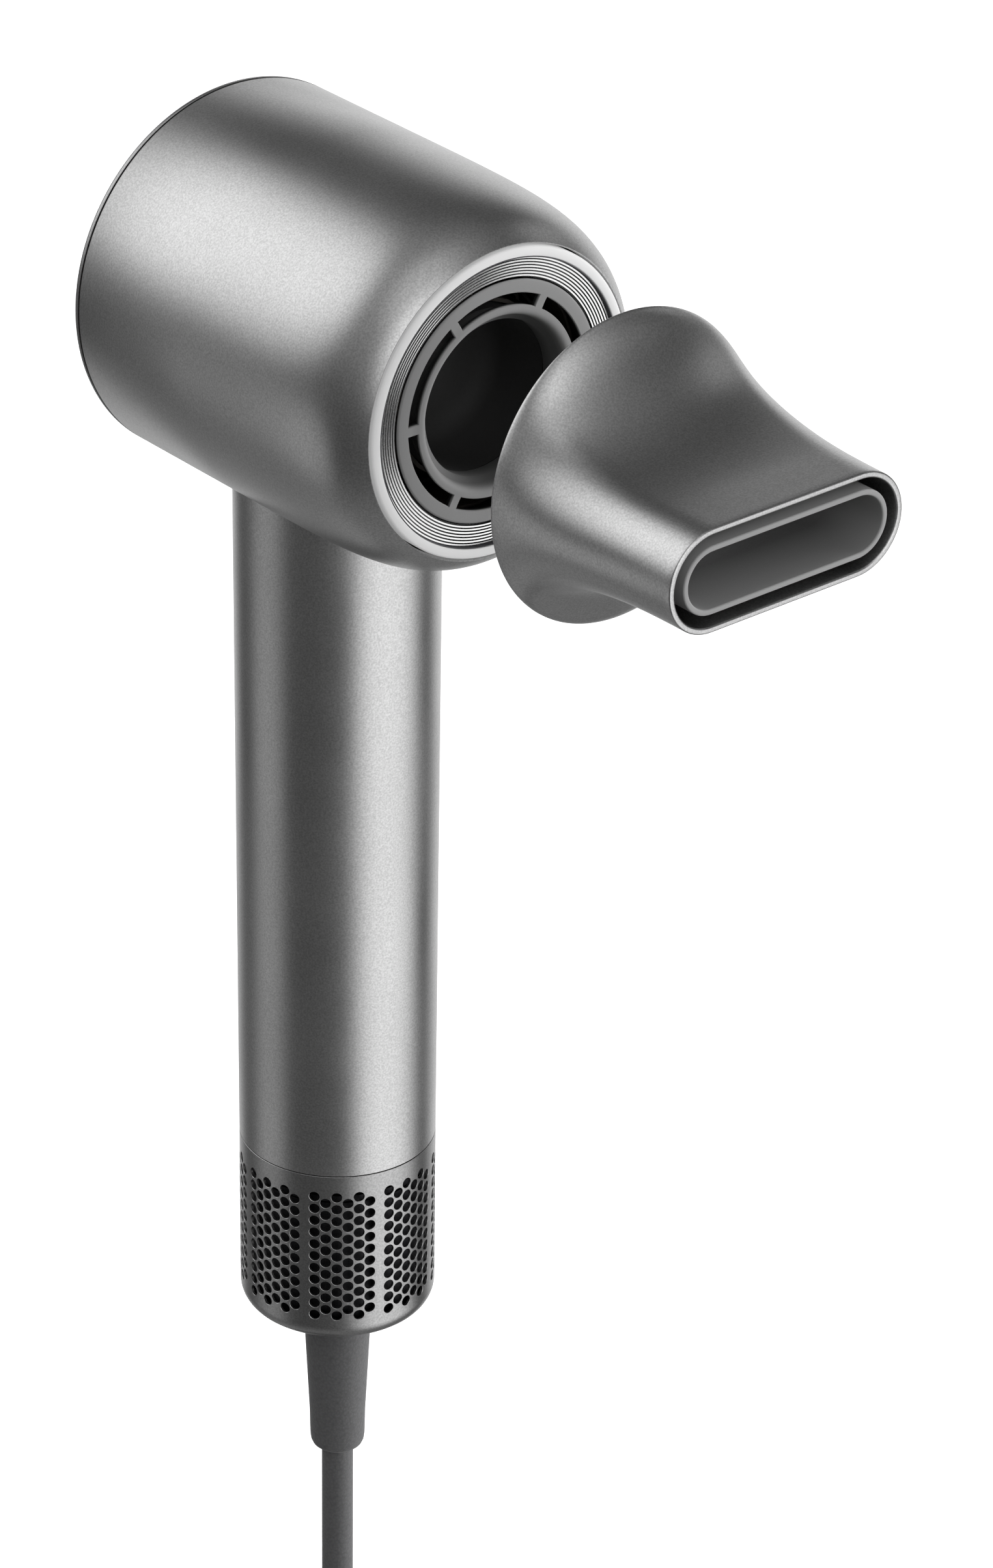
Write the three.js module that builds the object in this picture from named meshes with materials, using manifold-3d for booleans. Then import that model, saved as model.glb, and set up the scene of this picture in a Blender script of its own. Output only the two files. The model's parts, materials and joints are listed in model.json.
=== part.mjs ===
// A high-speed hair dryer: a barrel on a round handle, with a motor in the handle, an annular heater round a closed
// centre cup, a perforated inlet cover at the foot and a concentrator nozzle pulled off along the barrel's axis.
// Millimetres, +Z up along the handle. The origin is the middle of the hand grip, on the handle's axis. Air leaves
// the barrel towards -Y.
import * as THREE from 'three';
import { mergeVertices } from 'three/addons/utils/BufferGeometryUtils.js';
import Module from 'manifold-3d';

const wasm = await Module();
wasm.setup();

// ---------------------------------------------------------------- driving dimensions

const GAP = 0.3; // clearance between neighbouring solids

const BARREL_Z = 95; // height of the barrel's axis
const BARREL_R = 36.4;
const BARREL_WALL = 2.2;
const BARREL_REAR = 30.1; // the shell's rear edge
const BARREL_FRONT = -46.1; // the shell's front edge
const BARREL_MOUTH_R = 29.75;
const NOSE_START = -1.5; // where the barrel starts to curve in
const NOSE_HANDLES = [[36.4, -32.9], [36.2, -40.1]]; // the two inner control points of the nose curve

const HANDLE_TOP_R = 19.5;
const HANDLE_R = 19.15; // at the foot
const HANDLE_BORE_R = 17.2;
const HANDLE_FOOT = -77.3;

const LIGHT_RING_R = [27.55, 29.45];
const LIGHT_RING_FRONT = -46.5;
const GROOVED_RING_R = [23.3, 27.25];
const GRILLE_R = 23;
const SLOT_R = [18.13, 20.59]; // the six outlet slots lie between these radii
const SPOKES = 6;
const SPOKE_WIDTH = 1.7;
const GRILLE_FRONT = -45.6;
const CUP_R = 15.9;

const LINER_R = [22.8, 24];
const HEATER_Y = [-38, -6];

const BOARD_Y = [10.2, 11.6];
const BUTTON_R = 4;
const BUTTON_PROUD_Y = 19.9;
const SPEED_BUTTON_Z = 9;
const TEMPERATURE_BUTTON_Z = -8;
const POWER_SWITCH_Z = 27; // knob centre when off
const POWER_SWITCH_TRAVEL = 5;

const COVER_TOP = HANDLE_FOOT - GAP;
const COVER_FOOT = -116;
const COVER_WALL = 1.2;
const COVER_ROUND = 4; // rounding of the lower edge
const COVER_HOLE_R = 7.6; // where the strain relief passes
const COVER_PANELS = 8;
const COVER_FIRST_PANEL = 234.2; // degrees round from +X

const RELIEF_END = -152;
const CORD_R = 3.15;

const HANK_Z = -262.5; // middle of the hank
const HANK_FOLD_R = 18.9; // centre-line radius of its folds
const HANK_WAIST_R = 25.2; // centre-line radius of the curves into the tied waist
const HANK_RUN_X = 3.2; // the two runs lie this far each side of its middle at the waist
const HANK_PITCH = 6.4;
const HANK_TURNS = 6;
const HANK_STEP_ASIDE = 1.7; // extra spacing of the first turn, which clears the lead

const NOZZLE_REAR = -78.54;
const NOZZLE_FRONT = -121.84;
const NOZZLE_WALL = 1.2;
const NOZZLE_SHELL = { radius: 29.35, halfWidth: 26.5, halfHeight: 9.87 };
const NOZZLE_DUCT = { radius: 21.5, halfWidth: 23.2, halfHeight: 6.5 };
const NOZZLE_DUCT_WALL = 1.1;
const NOZZLE_DUCT_REAR = NOZZLE_REAR - 3;
const NOZZLE_WEB = { rear: -81.6, front: -82.6, gap: 0.6 }; // the flange that carries the duct inside the shell
const NOZZLE_HEIGHT_SPAN = 0.774; // the height has settled this far along
const NOZZLE_CORNER_WARP = 0.56;

// ---------------------------------------------------------------- materials

const metal = (color, roughness, metalness = 0.9) =>
  new THREE.MeshStandardMaterial({ color, roughness, metalness });
const plastic = (color, roughness = 0.6) => new THREE.MeshStandardMaterial({ color, roughness, metalness: 0 });

const shellMetal = metal(0x8a8b8d, 0.38, 0.8);
const coverMetal = metal(0x5c5c5f, 0.42, 0.8);
const ringWhite = plastic(0xe2e2e2, 0.4);
const steel = metal(0xc4c4c6, 0.25);
const darkSteel = metal(0x6a6a6e, 0.4);
const copper = metal(0xb0673a, 0.35);
const greyPlastic = plastic(0x7c7c7c);
const blackPlastic = plastic(0x1c1c1d, 0.7);
const mica = plastic(0xb9a47c, 0.5);
const rubber = plastic(0x3a3a3b, 0.85);
const board = plastic(0x1f5a36, 0.5);
const mesh = metal(0x3a3a3c, 0.5);

// ---------------------------------------------------------------- shape helpers

function signedVolume(points, corners) {
  const [a, b, c] = [new THREE.Vector3(), new THREE.Vector3(), new THREE.Vector3()];
  let sum = 0;
  for (let i = 0; i < corners.length; i += 3) {
    a.fromArray(points, corners[i] * 3);
    b.fromArray(points, corners[i + 1] * 3);
    c.fromArray(points, corners[i + 2] * 3);
    sum += a.dot(b.cross(c));
  }
  return sum / 6;
}

// A three.js geometry as a solid that can be joined and cut, facing out.
function solid(geometry) {
  const bare = geometry.index ? geometry.toNonIndexed() : geometry.clone();
  bare.deleteAttribute('normal');
  bare.deleteAttribute('uv');
  const merged = mergeVertices(bare);
  const points = merged.attributes.position.array;
  const index = merged.index.array;
  const corners = [];
  for (let i = 0; i < index.length; i += 3) {
    const [p, q, r] = index.slice(i, i + 3);
    if (p !== q && q !== r && r !== p) corners.push(p, q, r);
  }
  if (signedVolume(points, corners) < 0) corners.reverse();
  return new wasm.Manifold(new wasm.Mesh({
    numProp: 3,
    vertProperties: new Float32Array(points),
    triVerts: new Uint32Array(corners),
  }));
}

function geometryOf(body) {
  const { vertProperties, triVerts } = body.getMesh();
  const geometry = new THREE.BufferGeometry();
  geometry.setAttribute('position', new THREE.BufferAttribute(new Float32Array(vertProperties), 3));
  geometry.setIndex(new THREE.BufferAttribute(new Uint32Array(triVerts), 1));
  geometry.computeVertexNormals();
  return geometry;
}

// A profile of [radius, height] points turned about the Y axis. It closes on itself unless both ends are on the axis.
function turnedY(profile, segments = 20) {
  const points = profile.map(([radius, height]) => new THREE.Vector2(radius, height));
  const onAxis = profile[0][0] === 0 && profile.at(-1)[0] === 0;
  if (!onAxis) points.push(points[0].clone());
  return new THREE.LatheGeometry(points, segments);
}

const turnedZ = (profile, segments) => turnedY(profile, segments).rotateX(Math.PI / 2);

const bandProfile = (inner, outer, low, high) => [[inner, low], [outer, low], [outer, high], [inner, high]];
const rodProfile = (radius, low, high) => [[0, low], [radius, low], [radius, high], [0, high]];

const bandY = (inner, outer, low, high, segments) => turnedY(bandProfile(inner, outer, low, high), segments);
const bandZ = (inner, outer, low, high, segments) => turnedZ(bandProfile(inner, outer, low, high), segments);
const rodY = (radius, low, high, segments) => turnedY(rodProfile(radius, low, high), segments);
const rodZ = (radius, low, high, segments) => turnedZ(rodProfile(radius, low, high), segments);

// A box given by its lowest and highest corners.
function boxFrom(low, high) {
  const size = high.map((value, axis) => value - low[axis]);
  const centre = high.map((value, axis) => (value + low[axis]) / 2);
  return new THREE.BoxGeometry(...size).translate(...centre);
}

function tube(curve, radius, sides, steps) {
  const section = new THREE.Shape();
  for (let i = 0; i < sides; i += 1) {
    const angle = (i / sides) * 2 * Math.PI;
    const place = [radius * Math.cos(angle), radius * Math.sin(angle)];
    if (i === 0) section.moveTo(...place);
    else section.lineTo(...place);
  }
  section.closePath();
  return new THREE.ExtrudeGeometry(section, { steps, extrudePath: curve });
}

const wire = (points, radius, steps = 16) =>
  tube(new THREE.CatmullRomCurve3(points.map((point) => new THREE.Vector3(...point))), radius, 6, steps);

const turns = (count, make) => Array.from({ length: count }, (_, i) => make((i * 2 * Math.PI) / count, i));
const joined = (bodies) => bodies.reduce((all, body) => all.add(body));
const cut = (body, cutters) => body.subtract(joined(cutters));

// Closed rings of points joined one after the other, and the last to the first, into one skin.
function skinOf(rings) {
  const count = rings[0].length;
  const corners = [];
  rings.forEach((ring, i) => {
    const next = (i + 1) % rings.length;
    for (let k = 0; k < count; k += 1) {
      const after = (k + 1) % count;
      const [a, b] = [i * count + k, i * count + after];
      const [c, d] = [next * count + after, next * count + k];
      corners.push(a, b, c, a, c, d);
    }
  });
  const geometry = new THREE.BufferGeometry().setFromPoints(rings.flat());
  geometry.setIndex(corners);
  return geometry;
}

const dryer = new THREE.Group();
const head = new THREE.Group(); // everything on the barrel's axis
head.position.z = BARREL_Z;
dryer.add(head);

function add(parent, name, shape, material) {
  const body = shape.isBufferGeometry ? solid(shape) : shape;
  const piece = new THREE.Mesh(geometryOf(body), material);
  piece.name = name;
  parent.add(piece);
}

// ---------------------------------------------------------------- body shell and rear cover

function nosePoints(count) {
  const curve = new THREE.CubicBezierCurve(
    new THREE.Vector2(BARREL_R, NOSE_START),
    ...NOSE_HANDLES.map((place) => new THREE.Vector2(...place)),
    new THREE.Vector2(BARREL_MOUTH_R, BARREL_FRONT),
  );
  return curve.getSpacedPoints(count).map((point) => [point.x, point.y]);
}

function mainShell() {
  const segments = 44;
  const outside = turnedY([
    [0, BARREL_REAR], [BARREL_R - 0.3, BARREL_REAR], [BARREL_R, BARREL_REAR - 0.3],
    ...nosePoints(6), [0, BARREL_FRONT],
  ], segments);
  const bore = BARREL_R - BARREL_WALL;
  const inside = turnedY([
    [0, BARREL_REAR + 1], [bore, BARREL_REAR + 1], [bore, -28], [33.2, -37], [31.2, -41.5],
    [BARREL_MOUTH_R, -43.4], [BARREL_MOUTH_R, BARREL_FRONT - 1], [0, BARREL_FRONT - 1],
  ], segments);
  const underBarrel = BARREL_Z - 25;
  const handle = turnedZ([
    [0, HANDLE_FOOT], [HANDLE_R, HANDLE_FOOT], [HANDLE_TOP_R, underBarrel], [0, underBarrel],
  ], 32);
  const handleBore = rodZ(HANDLE_BORE_R, HANDLE_FOOT - 1, underBarrel + 1, 32);
  const buttonHole = (z) => rodY(BUTTON_R + GAP, 14, 21, 16).translate(0, 0, z);
  const switchSlot = boxFrom(
    [-4, 14, POWER_SWITCH_Z - 4.3],
    [4, 21, POWER_SWITCH_Z + POWER_SWITCH_TRAVEL + 4.3],
  );
  const lift = [0, 0, BARREL_Z];
  return cut(solid(outside.translate(...lift)).add(solid(handle)), [
    solid(inside.translate(...lift)), solid(handleBore), solid(buttonHole(SPEED_BUTTON_Z)),
    solid(buttonHole(TEMPERATURE_BUTTON_Z)), solid(switchSlot),
  ]);
}

add(dryer, 'main_shell', mainShell(), shellMetal);

const REAR_GROOVE_R = [24.2, 26.6];
const coverRear = BARREL_REAR + GAP; // front of the rear cover's flange
add(head, 'rear_cover', turnedY([
  [0, 27], [BARREL_R - BARREL_WALL - GAP, 27], [BARREL_R - BARREL_WALL - GAP, coverRear],
  [BARREL_R, coverRear], [BARREL_R - 0.3, 31.4], [REAR_GROOVE_R[1], 31.4], [REAR_GROOVE_R[1], 30.4],
  [REAR_GROOVE_R[0], 30.4], [REAR_GROOVE_R[0], 31.4], [0, 31.4],
], 40), shellMetal);
add(head, 'rear_trim_ring', bandY(REAR_GROOVE_R[0] + GAP, REAR_GROOVE_R[1] - GAP, 30.7, 31.9, 36), steel);

// ---------------------------------------------------------------- outlet

add(head, 'front_light_ring', bandY(...LIGHT_RING_R, LIGHT_RING_FRONT, -43.3, 40), ringWhite);
add(head, 'led_board', bandY(LIGHT_RING_R[0], 29, -43, -41.8), board);
add(head, 'grooved_ring', turnedY([
  [GROOVED_RING_R[0], -45.3], [GROOVED_RING_R[1], -45.6], [GROOVED_RING_R[1], -43.6], [GROOVED_RING_R[0], -43.6],
], 40), steel);
add(head, 'dock_magnet_ring', bandY(24.4, 27.1, -43.3, -40.4), darkSteel);

function outletGrille() {
  const back = GRILLE_FRONT + 1.9;
  const rim = solid(bandY(SLOT_R[1], GRILLE_R, GRILLE_FRONT, back, 36));
  const lip = solid(turnedY([
    [SLOT_R[0], back], [SLOT_R[0], GRILLE_FRONT + 0.2], [17.4, GRILLE_FRONT], [16.7, GRILLE_FRONT + 0.5],
    [16, GRILLE_FRONT + 2.5], [CUP_R + 0.1, -40.3], [17, -40.3],
  ], 36));
  const spokes = turns(SPOKES, (angle) => solid(boxFrom(
    [SLOT_R[0] - 0.5, GRILLE_FRONT + 0.3, -SPOKE_WIDTH / 2],
    [SLOT_R[1] + 0.5, back, SPOKE_WIDTH / 2],
  ).rotateY(angle)));
  return joined([rim, lip, ...spokes]);
}

add(head, 'outlet_grille', outletGrille(), greyPlastic);

const CUP_BACK = -24;
add(head, 'center_cup', turnedY([
  [0, CUP_BACK], [CUP_R - 3, CUP_BACK], [CUP_R, CUP_BACK - 3], [CUP_R, -40], [CUP_R - 0.9, -40],
  [CUP_R - 0.9, CUP_BACK - 3.6], [CUP_R - 3.6, CUP_BACK - 0.9], [0, CUP_BACK - 0.9],
], 28), blackPlastic);

// ---------------------------------------------------------------- heater, duct and ion generator

const NEEDLE_Y = 0;
add(head, 'duct_liner', cut(solid(bandY(...LINER_R, -43.3, 4, 28)), [
  solid(rodZ(1.6, 20, 26, 12).translate(0, NEEDLE_Y, 0)),
]), greyPlastic);
add(head, 'front_bulkhead', bandY(LINER_R[1] + GAP, 33.2, -33.5, -32, 28), greyPlastic);
add(head, 'mica_sleeve', bandY(21.9, 22.4, -40, -4, 28), mica);

function heaterFrame() {
  const hub = solid(bandY(16.4, 17.1, ...HEATER_Y, 24));
  const fins = turns(SPOKES, (angle) => solid(boxFrom(
    [16.8, HEATER_Y[0], -0.3],
    [19.4, HEATER_Y[1], 0.3],
  ).rotateY(angle + Math.PI / SPOKES)));
  return joined([hub, ...fins]);
}

add(head, 'heater_frame', heaterFrame(), mica);

// A coil of resistance wire wound round the mica fins.
class Winding extends THREE.Curve {
  constructor(radius, start, end, count) {
    super();
    Object.assign(this, { radius, start, end, count });
  }

  getPoint(t, target = new THREE.Vector3()) {
    const angle = t * this.count * 2 * Math.PI;
    const along = this.start + (this.end - this.start) * t;
    return target.set(this.radius * Math.cos(angle), along, this.radius * Math.sin(angle));
  }
}

[[-36, -24], [-20.5, -8.5]].forEach(([start, end], i) => {
  add(head, `heater_coil_${i + 1}`, tube(new Winding(21.15, start, end, 3), 0.4, 4, 42), steel);
});
const BETWEEN_FINS = Math.PI / SPOKES;
add(head, 'thermostat', boxFrom([-2.4, -21, 17.7], [2.4, -12, 20]).rotateY(BETWEEN_FINS), blackPlastic);
add(head, 'thermal_fuse', rodY(1.1, -22, -13, 12).translate(0, 0, -18.9).rotateY(BETWEEN_FINS), steel);
add(head, 'ion_generator', boxFrom([-9, -19, 25], [9, 5, 30.6]), blackPlastic);
add(head, 'ion_needle', rodZ(0.5, 20, 24.7, 8).translate(0, NEEDLE_Y, 0), steel);
add(dryer, 'heater_lead', wire(
  [[5, 9.2, 50], [5, 9.2, 60], [8, 13, 68], [10, 12, 76], [10.6, 4, 79.6], [10.8, -3.5, 79.6]], 0.8,
), rubber);

// ---------------------------------------------------------------- controls

add(dryer, 'control_board', boxFrom([-9, BOARD_Y[0], -15], [9, BOARD_Y[1], 56]), board);
const switchBack = BOARD_Y[1] + GAP;
add(dryer, 'slide_switch_body', boxFrom([-3.5, switchBack, 24], [3.5, 14.2, 35]), darkSteel);
const BUTTON_STEM = 15.2; // inner end of a button at rest
const PRESS_TRAVEL = 1.2;

function tactSwitch(z) {
  const housing = solid(boxFrom([-3, switchBack, z - 3], [3, 13.2, z + 3]));
  return housing.add(solid(rodY(1.2, 13, BUTTON_STEM - PRESS_TRAVEL - 0.1, 8).translate(0, 0, z)));
}

function button(z) {
  return turnedY([
    [0, BUTTON_STEM], [4.8, BUTTON_STEM], [4.8, 16.1], [BUTTON_R, 16.1], [BUTTON_R, BUTTON_PROUD_Y - 0.4],
    [BUTTON_R - 0.4, BUTTON_PROUD_Y], [0, BUTTON_PROUD_Y],
  ], 16).translate(0, 0, z);
}

add(dryer, 'tact_switch_1', tactSwitch(SPEED_BUTTON_Z), darkSteel);
add(dryer, 'tact_switch_2', tactSwitch(TEMPERATURE_BUTTON_Z), darkSteel);
add(dryer, 'speed_button', button(SPEED_BUTTON_Z), darkSteel);
add(dryer, 'temperature_button', button(TEMPERATURE_BUTTON_Z), darkSteel);

function powerSwitch() {
  const knob = boxFrom([-3.7, 15.5, POWER_SWITCH_Z - 4], [3.7, 20.6, POWER_SWITCH_Z + 4]);
  const flange = boxFrom([-5, 14.8, POWER_SWITCH_Z - 6.5], [5, 15.9, POWER_SWITCH_Z + 6.5]);
  const grip = [-2.2, 0, 2.2].map((step) => solid(boxFrom(
    [-4, 20, POWER_SWITCH_Z + step - 0.4],
    [4, 21, POWER_SWITCH_Z + step + 0.4],
  )));
  return cut(solid(knob).add(solid(flange)), grip);
}

add(dryer, 'power_switch', powerSwitch(), darkSteel);

// ---------------------------------------------------------------- motor

const CHANNEL = 4.4; // half-width of the cable channel in the rubber sleeve
add(dryer, 'motor_sleeve', cut(solid(bandZ(13.9, 16.8, -60, -22)), [
  solid(boxFrom([-CHANNEL, 12, -61], [CHANNEL, 18, -21])),
]), rubber);
add(dryer, 'motor_can', bandZ(12.4, 13.5, -58, -24), darkSteel);

const hubAndRing = (low, high) => [
  solid(bandZ(3.9, 5.6, low, high, 16)),
  solid(bandZ(11, 12, low, high, 24)),
];

function diffuser() {
  const vanes = turns(9, (angle) => solid(new THREE.BoxGeometry(6.2, 0.8, 4.6)
    .rotateX(0.4).translate(8.3, 0, -42).rotateZ(angle)));
  return joined([...hubAndRing(-44.5, -39.5), ...vanes]);
}

function motorBracket() {
  const arms = turns(4, (angle) => solid(boxFrom([5.2, -1, -27.6], [11.4, 1, -25.2]).rotateZ(angle)));
  return joined([...hubAndRing(-27.8, -25), ...arms]);
}

function statorCore() {
  const yoke = solid(bandZ(8.4, 9.8, -37.5, -29, 24));
  const teeth = turns(3, (angle) => solid(boxFrom([4.2, -1.2, -37.5], [8.9, 1.2, -29]).rotateZ(angle)));
  return joined([yoke, ...teeth]);
}

// Three coils, one round each tooth, joined by their end turns.
function statorWinding() {
  const coils = turns(3, (angle) => {
    const block = solid(boxFrom([5, -2.6, -38.8], [7.9, 2.6, -28.6]).rotateZ(angle));
    return block.subtract(solid(boxFrom([4, -1.5, -37.8], [9, 1.5, -28.7]).rotateZ(angle)));
  });
  return joined([...coils, solid(bandZ(5.2, 7.7, -38.8, -37.9, 24))]);
}

function impeller() {
  const hub = solid(turnedZ([[1.8, -57], [3, -57], [6, -46.5], [1.8, -46.5]], 18));
  const blades = turns(9, (angle) => solid(new THREE.BoxGeometry(7.2, 0.7, 9)
    .rotateX(0.6).translate(8, 0, -51.4).rotateZ(angle)));
  return joined([hub, ...blades]).intersect(solid(rodZ(11.9, -57, -46.5, 36)));
}

add(dryer, 'diffuser', diffuser(), greyPlastic);
add(dryer, 'motor_bracket', motorBracket(), darkSteel);
add(dryer, 'stator_core', statorCore(), steel);
add(dryer, 'stator_winding', statorWinding(), copper);
add(dryer, 'bearing_lower', bandZ(1.8, 3.6, -43.5, -41, 16), steel);
add(dryer, 'bearing_upper', bandZ(1.8, 3.6, -27.6, -25.2, 16), steel);
add(dryer, 'rotor_shaft', rodZ(1.5, -57.5, -24.6, 12), steel);
add(dryer, 'rotor_magnet', bandZ(1.8, 3.4, -37.4, -29.2, 16), darkSteel);
add(dryer, 'impeller', impeller(), steel);

// ---------------------------------------------------------------- inlet, cord clamp and strain relief

const CAGE_R = [13, 14.2];
const PLATE = [-113, -110]; // the cage's foot plate
const SCREW_X = 5.6;

function inletCage() {
  const seat = solid(bandZ(CAGE_R[0], 16.8, -79.8, -70, 24));
  const plate = solid(bandZ(3.5, CAGE_R[1], ...PLATE, 24));
  const bars = turns(6, (angle) => solid(boxFrom(
    [CAGE_R[0] + 0.1, -1.5, PLATE[1] - 0.5],
    [CAGE_R[1] - 0.1, 1.5, -79],
  ).rotateZ(angle)));
  const pilots = [-SCREW_X, SCREW_X].map((x) => solid(rodZ(1.2, PLATE[0] + 0.4, PLATE[1] + 1, 12).translate(x, 0, 0)));
  return cut(joined([seat, plate, ...bars]), pilots);
}

function cordClamp() {
  const screwHoles = [-SCREW_X, SCREW_X].map((x) => solid(rodZ(1.2, -110, -105, 12).translate(x, 0, 0)));
  return cut(solid(boxFrom([-8, -4.5, -109.7], [8, 4.5, -105.7])), [
    solid(rodZ(3.5, -111, -104, 20)), ...screwHoles,
  ]);
}

add(dryer, 'inlet_cage', inletCage(), greyPlastic);
add(dryer, 'cord_clamp', cordClamp(), greyPlastic);
[-SCREW_X, SCREW_X].forEach((x, i) => {
  add(dryer, `clamp_screw_${i + 1}`, turnedZ([
    [0, -112], [0.85, -112], [0.85, -105.4], [1.9, -105.4], [1.9, -104.2], [0, -104.2],
  ], 12).translate(x, 0, 0), steel);
});

add(dryer, 'strain_relief', turnedZ([
  [0, RELIEF_END], [3.9, RELIEF_END], [4.9, RELIEF_END + 0.8], [5.4, RELIEF_END + 2.4], [5.5, RELIEF_END + 6],
  [7, COVER_FOOT + 1.7], [9, COVER_FOOT + 1.7], [9, COVER_FOOT + 2.7], [3.1, COVER_FOOT + 2.7],
  [3.1, -104.6], [0, -104.6],
], 24), rubber);

[-1, 1].forEach((side, i) => {
  add(dryer, `mains_lead_${i + 1}`, wire([
    [side * 1.5, 0, -104.2], [side * 2.2, 3, -98], [side * 2.4, 9, -84], [side * 2.4, 11, -74],
    [side * 2.6, 13.2, -66], [side * 2.8, 15.2, -58], [side * 2.8, 15.3, -42], [side * 2.8, 15.2, -30],
    [side * 2.8, 14, -23], [side * 2.8, 11.6, -18.6], [side * 2.8, 10.9, -15.5],
  ], 0.7, 22), i === 0 ? darkSteel : rubber);
});

// ---------------------------------------------------------------- perforated inlet cover

function inletCover() {
  const inner = HANDLE_R - COVER_WALL;
  const round = (corner) => Array.from({ length: 4 }, (_, i) => {
    const angle = (i / 3) * (Math.PI / 2);
    const centre = [HANDLE_R - COVER_ROUND, COVER_FOOT + COVER_ROUND];
    return [centre[0] + corner * Math.cos(angle), centre[1] - corner * Math.sin(angle)];
  });
  const body = solid(turnedZ([
    [inner, COVER_TOP], [HANDLE_R, COVER_TOP], ...round(COVER_ROUND), [COVER_HOLE_R, COVER_FOOT],
    [COVER_HOLE_R, COVER_FOOT + COVER_WALL], ...round(COVER_ROUND - COVER_WALL).reverse(),
  ], 32));
  const holes = turns(COVER_PANELS, (turn) => [0, 1].map((row) =>
    solid(new THREE.CylinderGeometry(4.2, 4.2, 6, 6)
      .rotateZ(Math.PI / 2)
      .translate(HANDLE_R, 0, -90.5 - 11 * row)
      .rotateZ(THREE.MathUtils.degToRad(COVER_FIRST_PANEL) + turn)))).flat();
  return cut(body, holes);
}

add(dryer, 'inlet_cover', inletCover(), coverMetal);
add(dryer, 'cover_steel_ring', bandZ(14.6, 17.6, -84, -82.8, 28), steel);
add(dryer, 'filter_mesh', bandZ(17.05, 17.55, -111, -84.4, 28), mesh);

// ---------------------------------------------------------------- concentrator nozzle

// How far an ease-in, ease-out curve has risen at u, with its two handles as long as given.
function eased(u, handleIn, handleOut) {
  let [low, high] = [0, 1];
  for (let i = 0; i < 30; i += 1) {
    const k = (low + high) / 2;
    const along = 3 * (1 - k) ** 2 * k * handleIn + 3 * (1 - k) * k * k * (1 - handleOut) + k ** 3;
    if (along < u) low = k;
    else high = k;
  }
  return 3 * (1 - low) * low * low + low ** 3;
}

// The point where a ray from the middle leaves a slot shape with round ends.
function slotPoint(angle, halfWidth, halfHeight) {
  const [c, s] = [Math.cos(angle), Math.sin(angle)];
  const flat = halfWidth - halfHeight;
  if (Math.abs(s) > 1e-9 && Math.abs((halfHeight * c) / s) <= flat) {
    return [(halfHeight * c) / Math.abs(s), Math.sign(s) * halfHeight];
  }
  const along = flat * Math.abs(c);
  const reach = along + Math.sqrt(along * along - flat * flat + halfHeight * halfHeight);
  return [reach * c, reach * s];
}

// One ring of the loft from the round rear rim (t = 0) to the slot-shaped outlet (t = 1).
function nozzleRing({ radius, halfWidth, halfHeight }, t, y, inset, count) {
  const flattened = eased(Math.min(t / NOZZLE_HEIGHT_SPAN, 1), 0.111, 0.868);
  const narrowed = eased(t, 0.38, 0.4);
  return Array.from({ length: count }, (_, i) => {
    const angle = (i / count) * 2 * Math.PI;
    const warped = Math.atan2(Math.sin(angle) * NOZZLE_CORNER_WARP, Math.cos(angle));
    const [slotX, slotZ] = slotPoint(warped, halfWidth - inset, halfHeight - inset);
    const x = THREE.MathUtils.lerp((radius - inset) * Math.cos(angle), slotX, narrowed);
    const z = THREE.MathUtils.lerp((radius - inset) * Math.sin(angle), slotZ, flattened);
    return new THREE.Vector3(x, y, z);
  });
}

function nozzleSkin(size, wall, rear, front, stations, count) {
  const ring = (i, inset) => {
    const y = THREE.MathUtils.lerp(rear, front, (i / stations) ** 1.4); // closer together at the rear
    const t = (y - NOZZLE_REAR) / (NOZZLE_FRONT - NOZZLE_REAR);
    return nozzleRing(size, t, y, inset, count);
  };
  const steps = Array.from({ length: stations + 1 }, (_, i) => i);
  return skinOf([...steps.map((i) => ring(i, 0)), ...steps.reverse().map((i) => ring(i, wall))]);
}

add(head, 'nozzle_shell', nozzleSkin(NOZZLE_SHELL, NOZZLE_WALL, NOZZLE_REAR, NOZZLE_FRONT, 9, 32), shellMetal);

function nozzleWeb(count) {
  const ring = (size, y, inset) =>
    nozzleRing(size, (y - NOZZLE_REAR) / (NOZZLE_FRONT - NOZZLE_REAR), y, inset, count);
  const { rear, front, gap } = NOZZLE_WEB;
  return skinOf([
    ring(NOZZLE_SHELL, rear, NOZZLE_WALL + gap), ring(NOZZLE_SHELL, front, NOZZLE_WALL + gap),
    ring(NOZZLE_DUCT, front, NOZZLE_DUCT_WALL / 2), ring(NOZZLE_DUCT, rear, NOZZLE_DUCT_WALL / 2),
  ]);
}

const nozzleDuct = nozzleSkin(NOZZLE_DUCT, NOZZLE_DUCT_WALL, NOZZLE_DUCT_REAR, NOZZLE_FRONT + 0.2, 6, 24);
add(head, 'nozzle_duct', joined([nozzleDuct, nozzleWeb(24)].map(solid)), greyPlastic);
add(head, 'nozzle_dock_ring', bandY(21.9, 26, -79.8, -78.2, 28), blackPlastic);
add(head, 'nozzle_steel_ring', bandY(21.9, 24.4, -81, -80.1, 28), steel);

// ---------------------------------------------------------------- cord, hank, tie and plug

const hankHeight = Math.sqrt((HANK_FOLD_R + HANK_WAIST_R) ** 2 - (HANK_RUN_X + HANK_WAIST_R) ** 2);
const hankX = -HANK_RUN_X; // the lead is over the right-hand run
const hankBack = HANK_TURNS * HANK_PITCH + HANK_STEP_ASIDE; // where the tail leaves
const hankTop = HANK_Z + hankHeight + HANK_FOLD_R + CORD_R;
const hankFoot = 2 * HANK_Z - hankTop;

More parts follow.
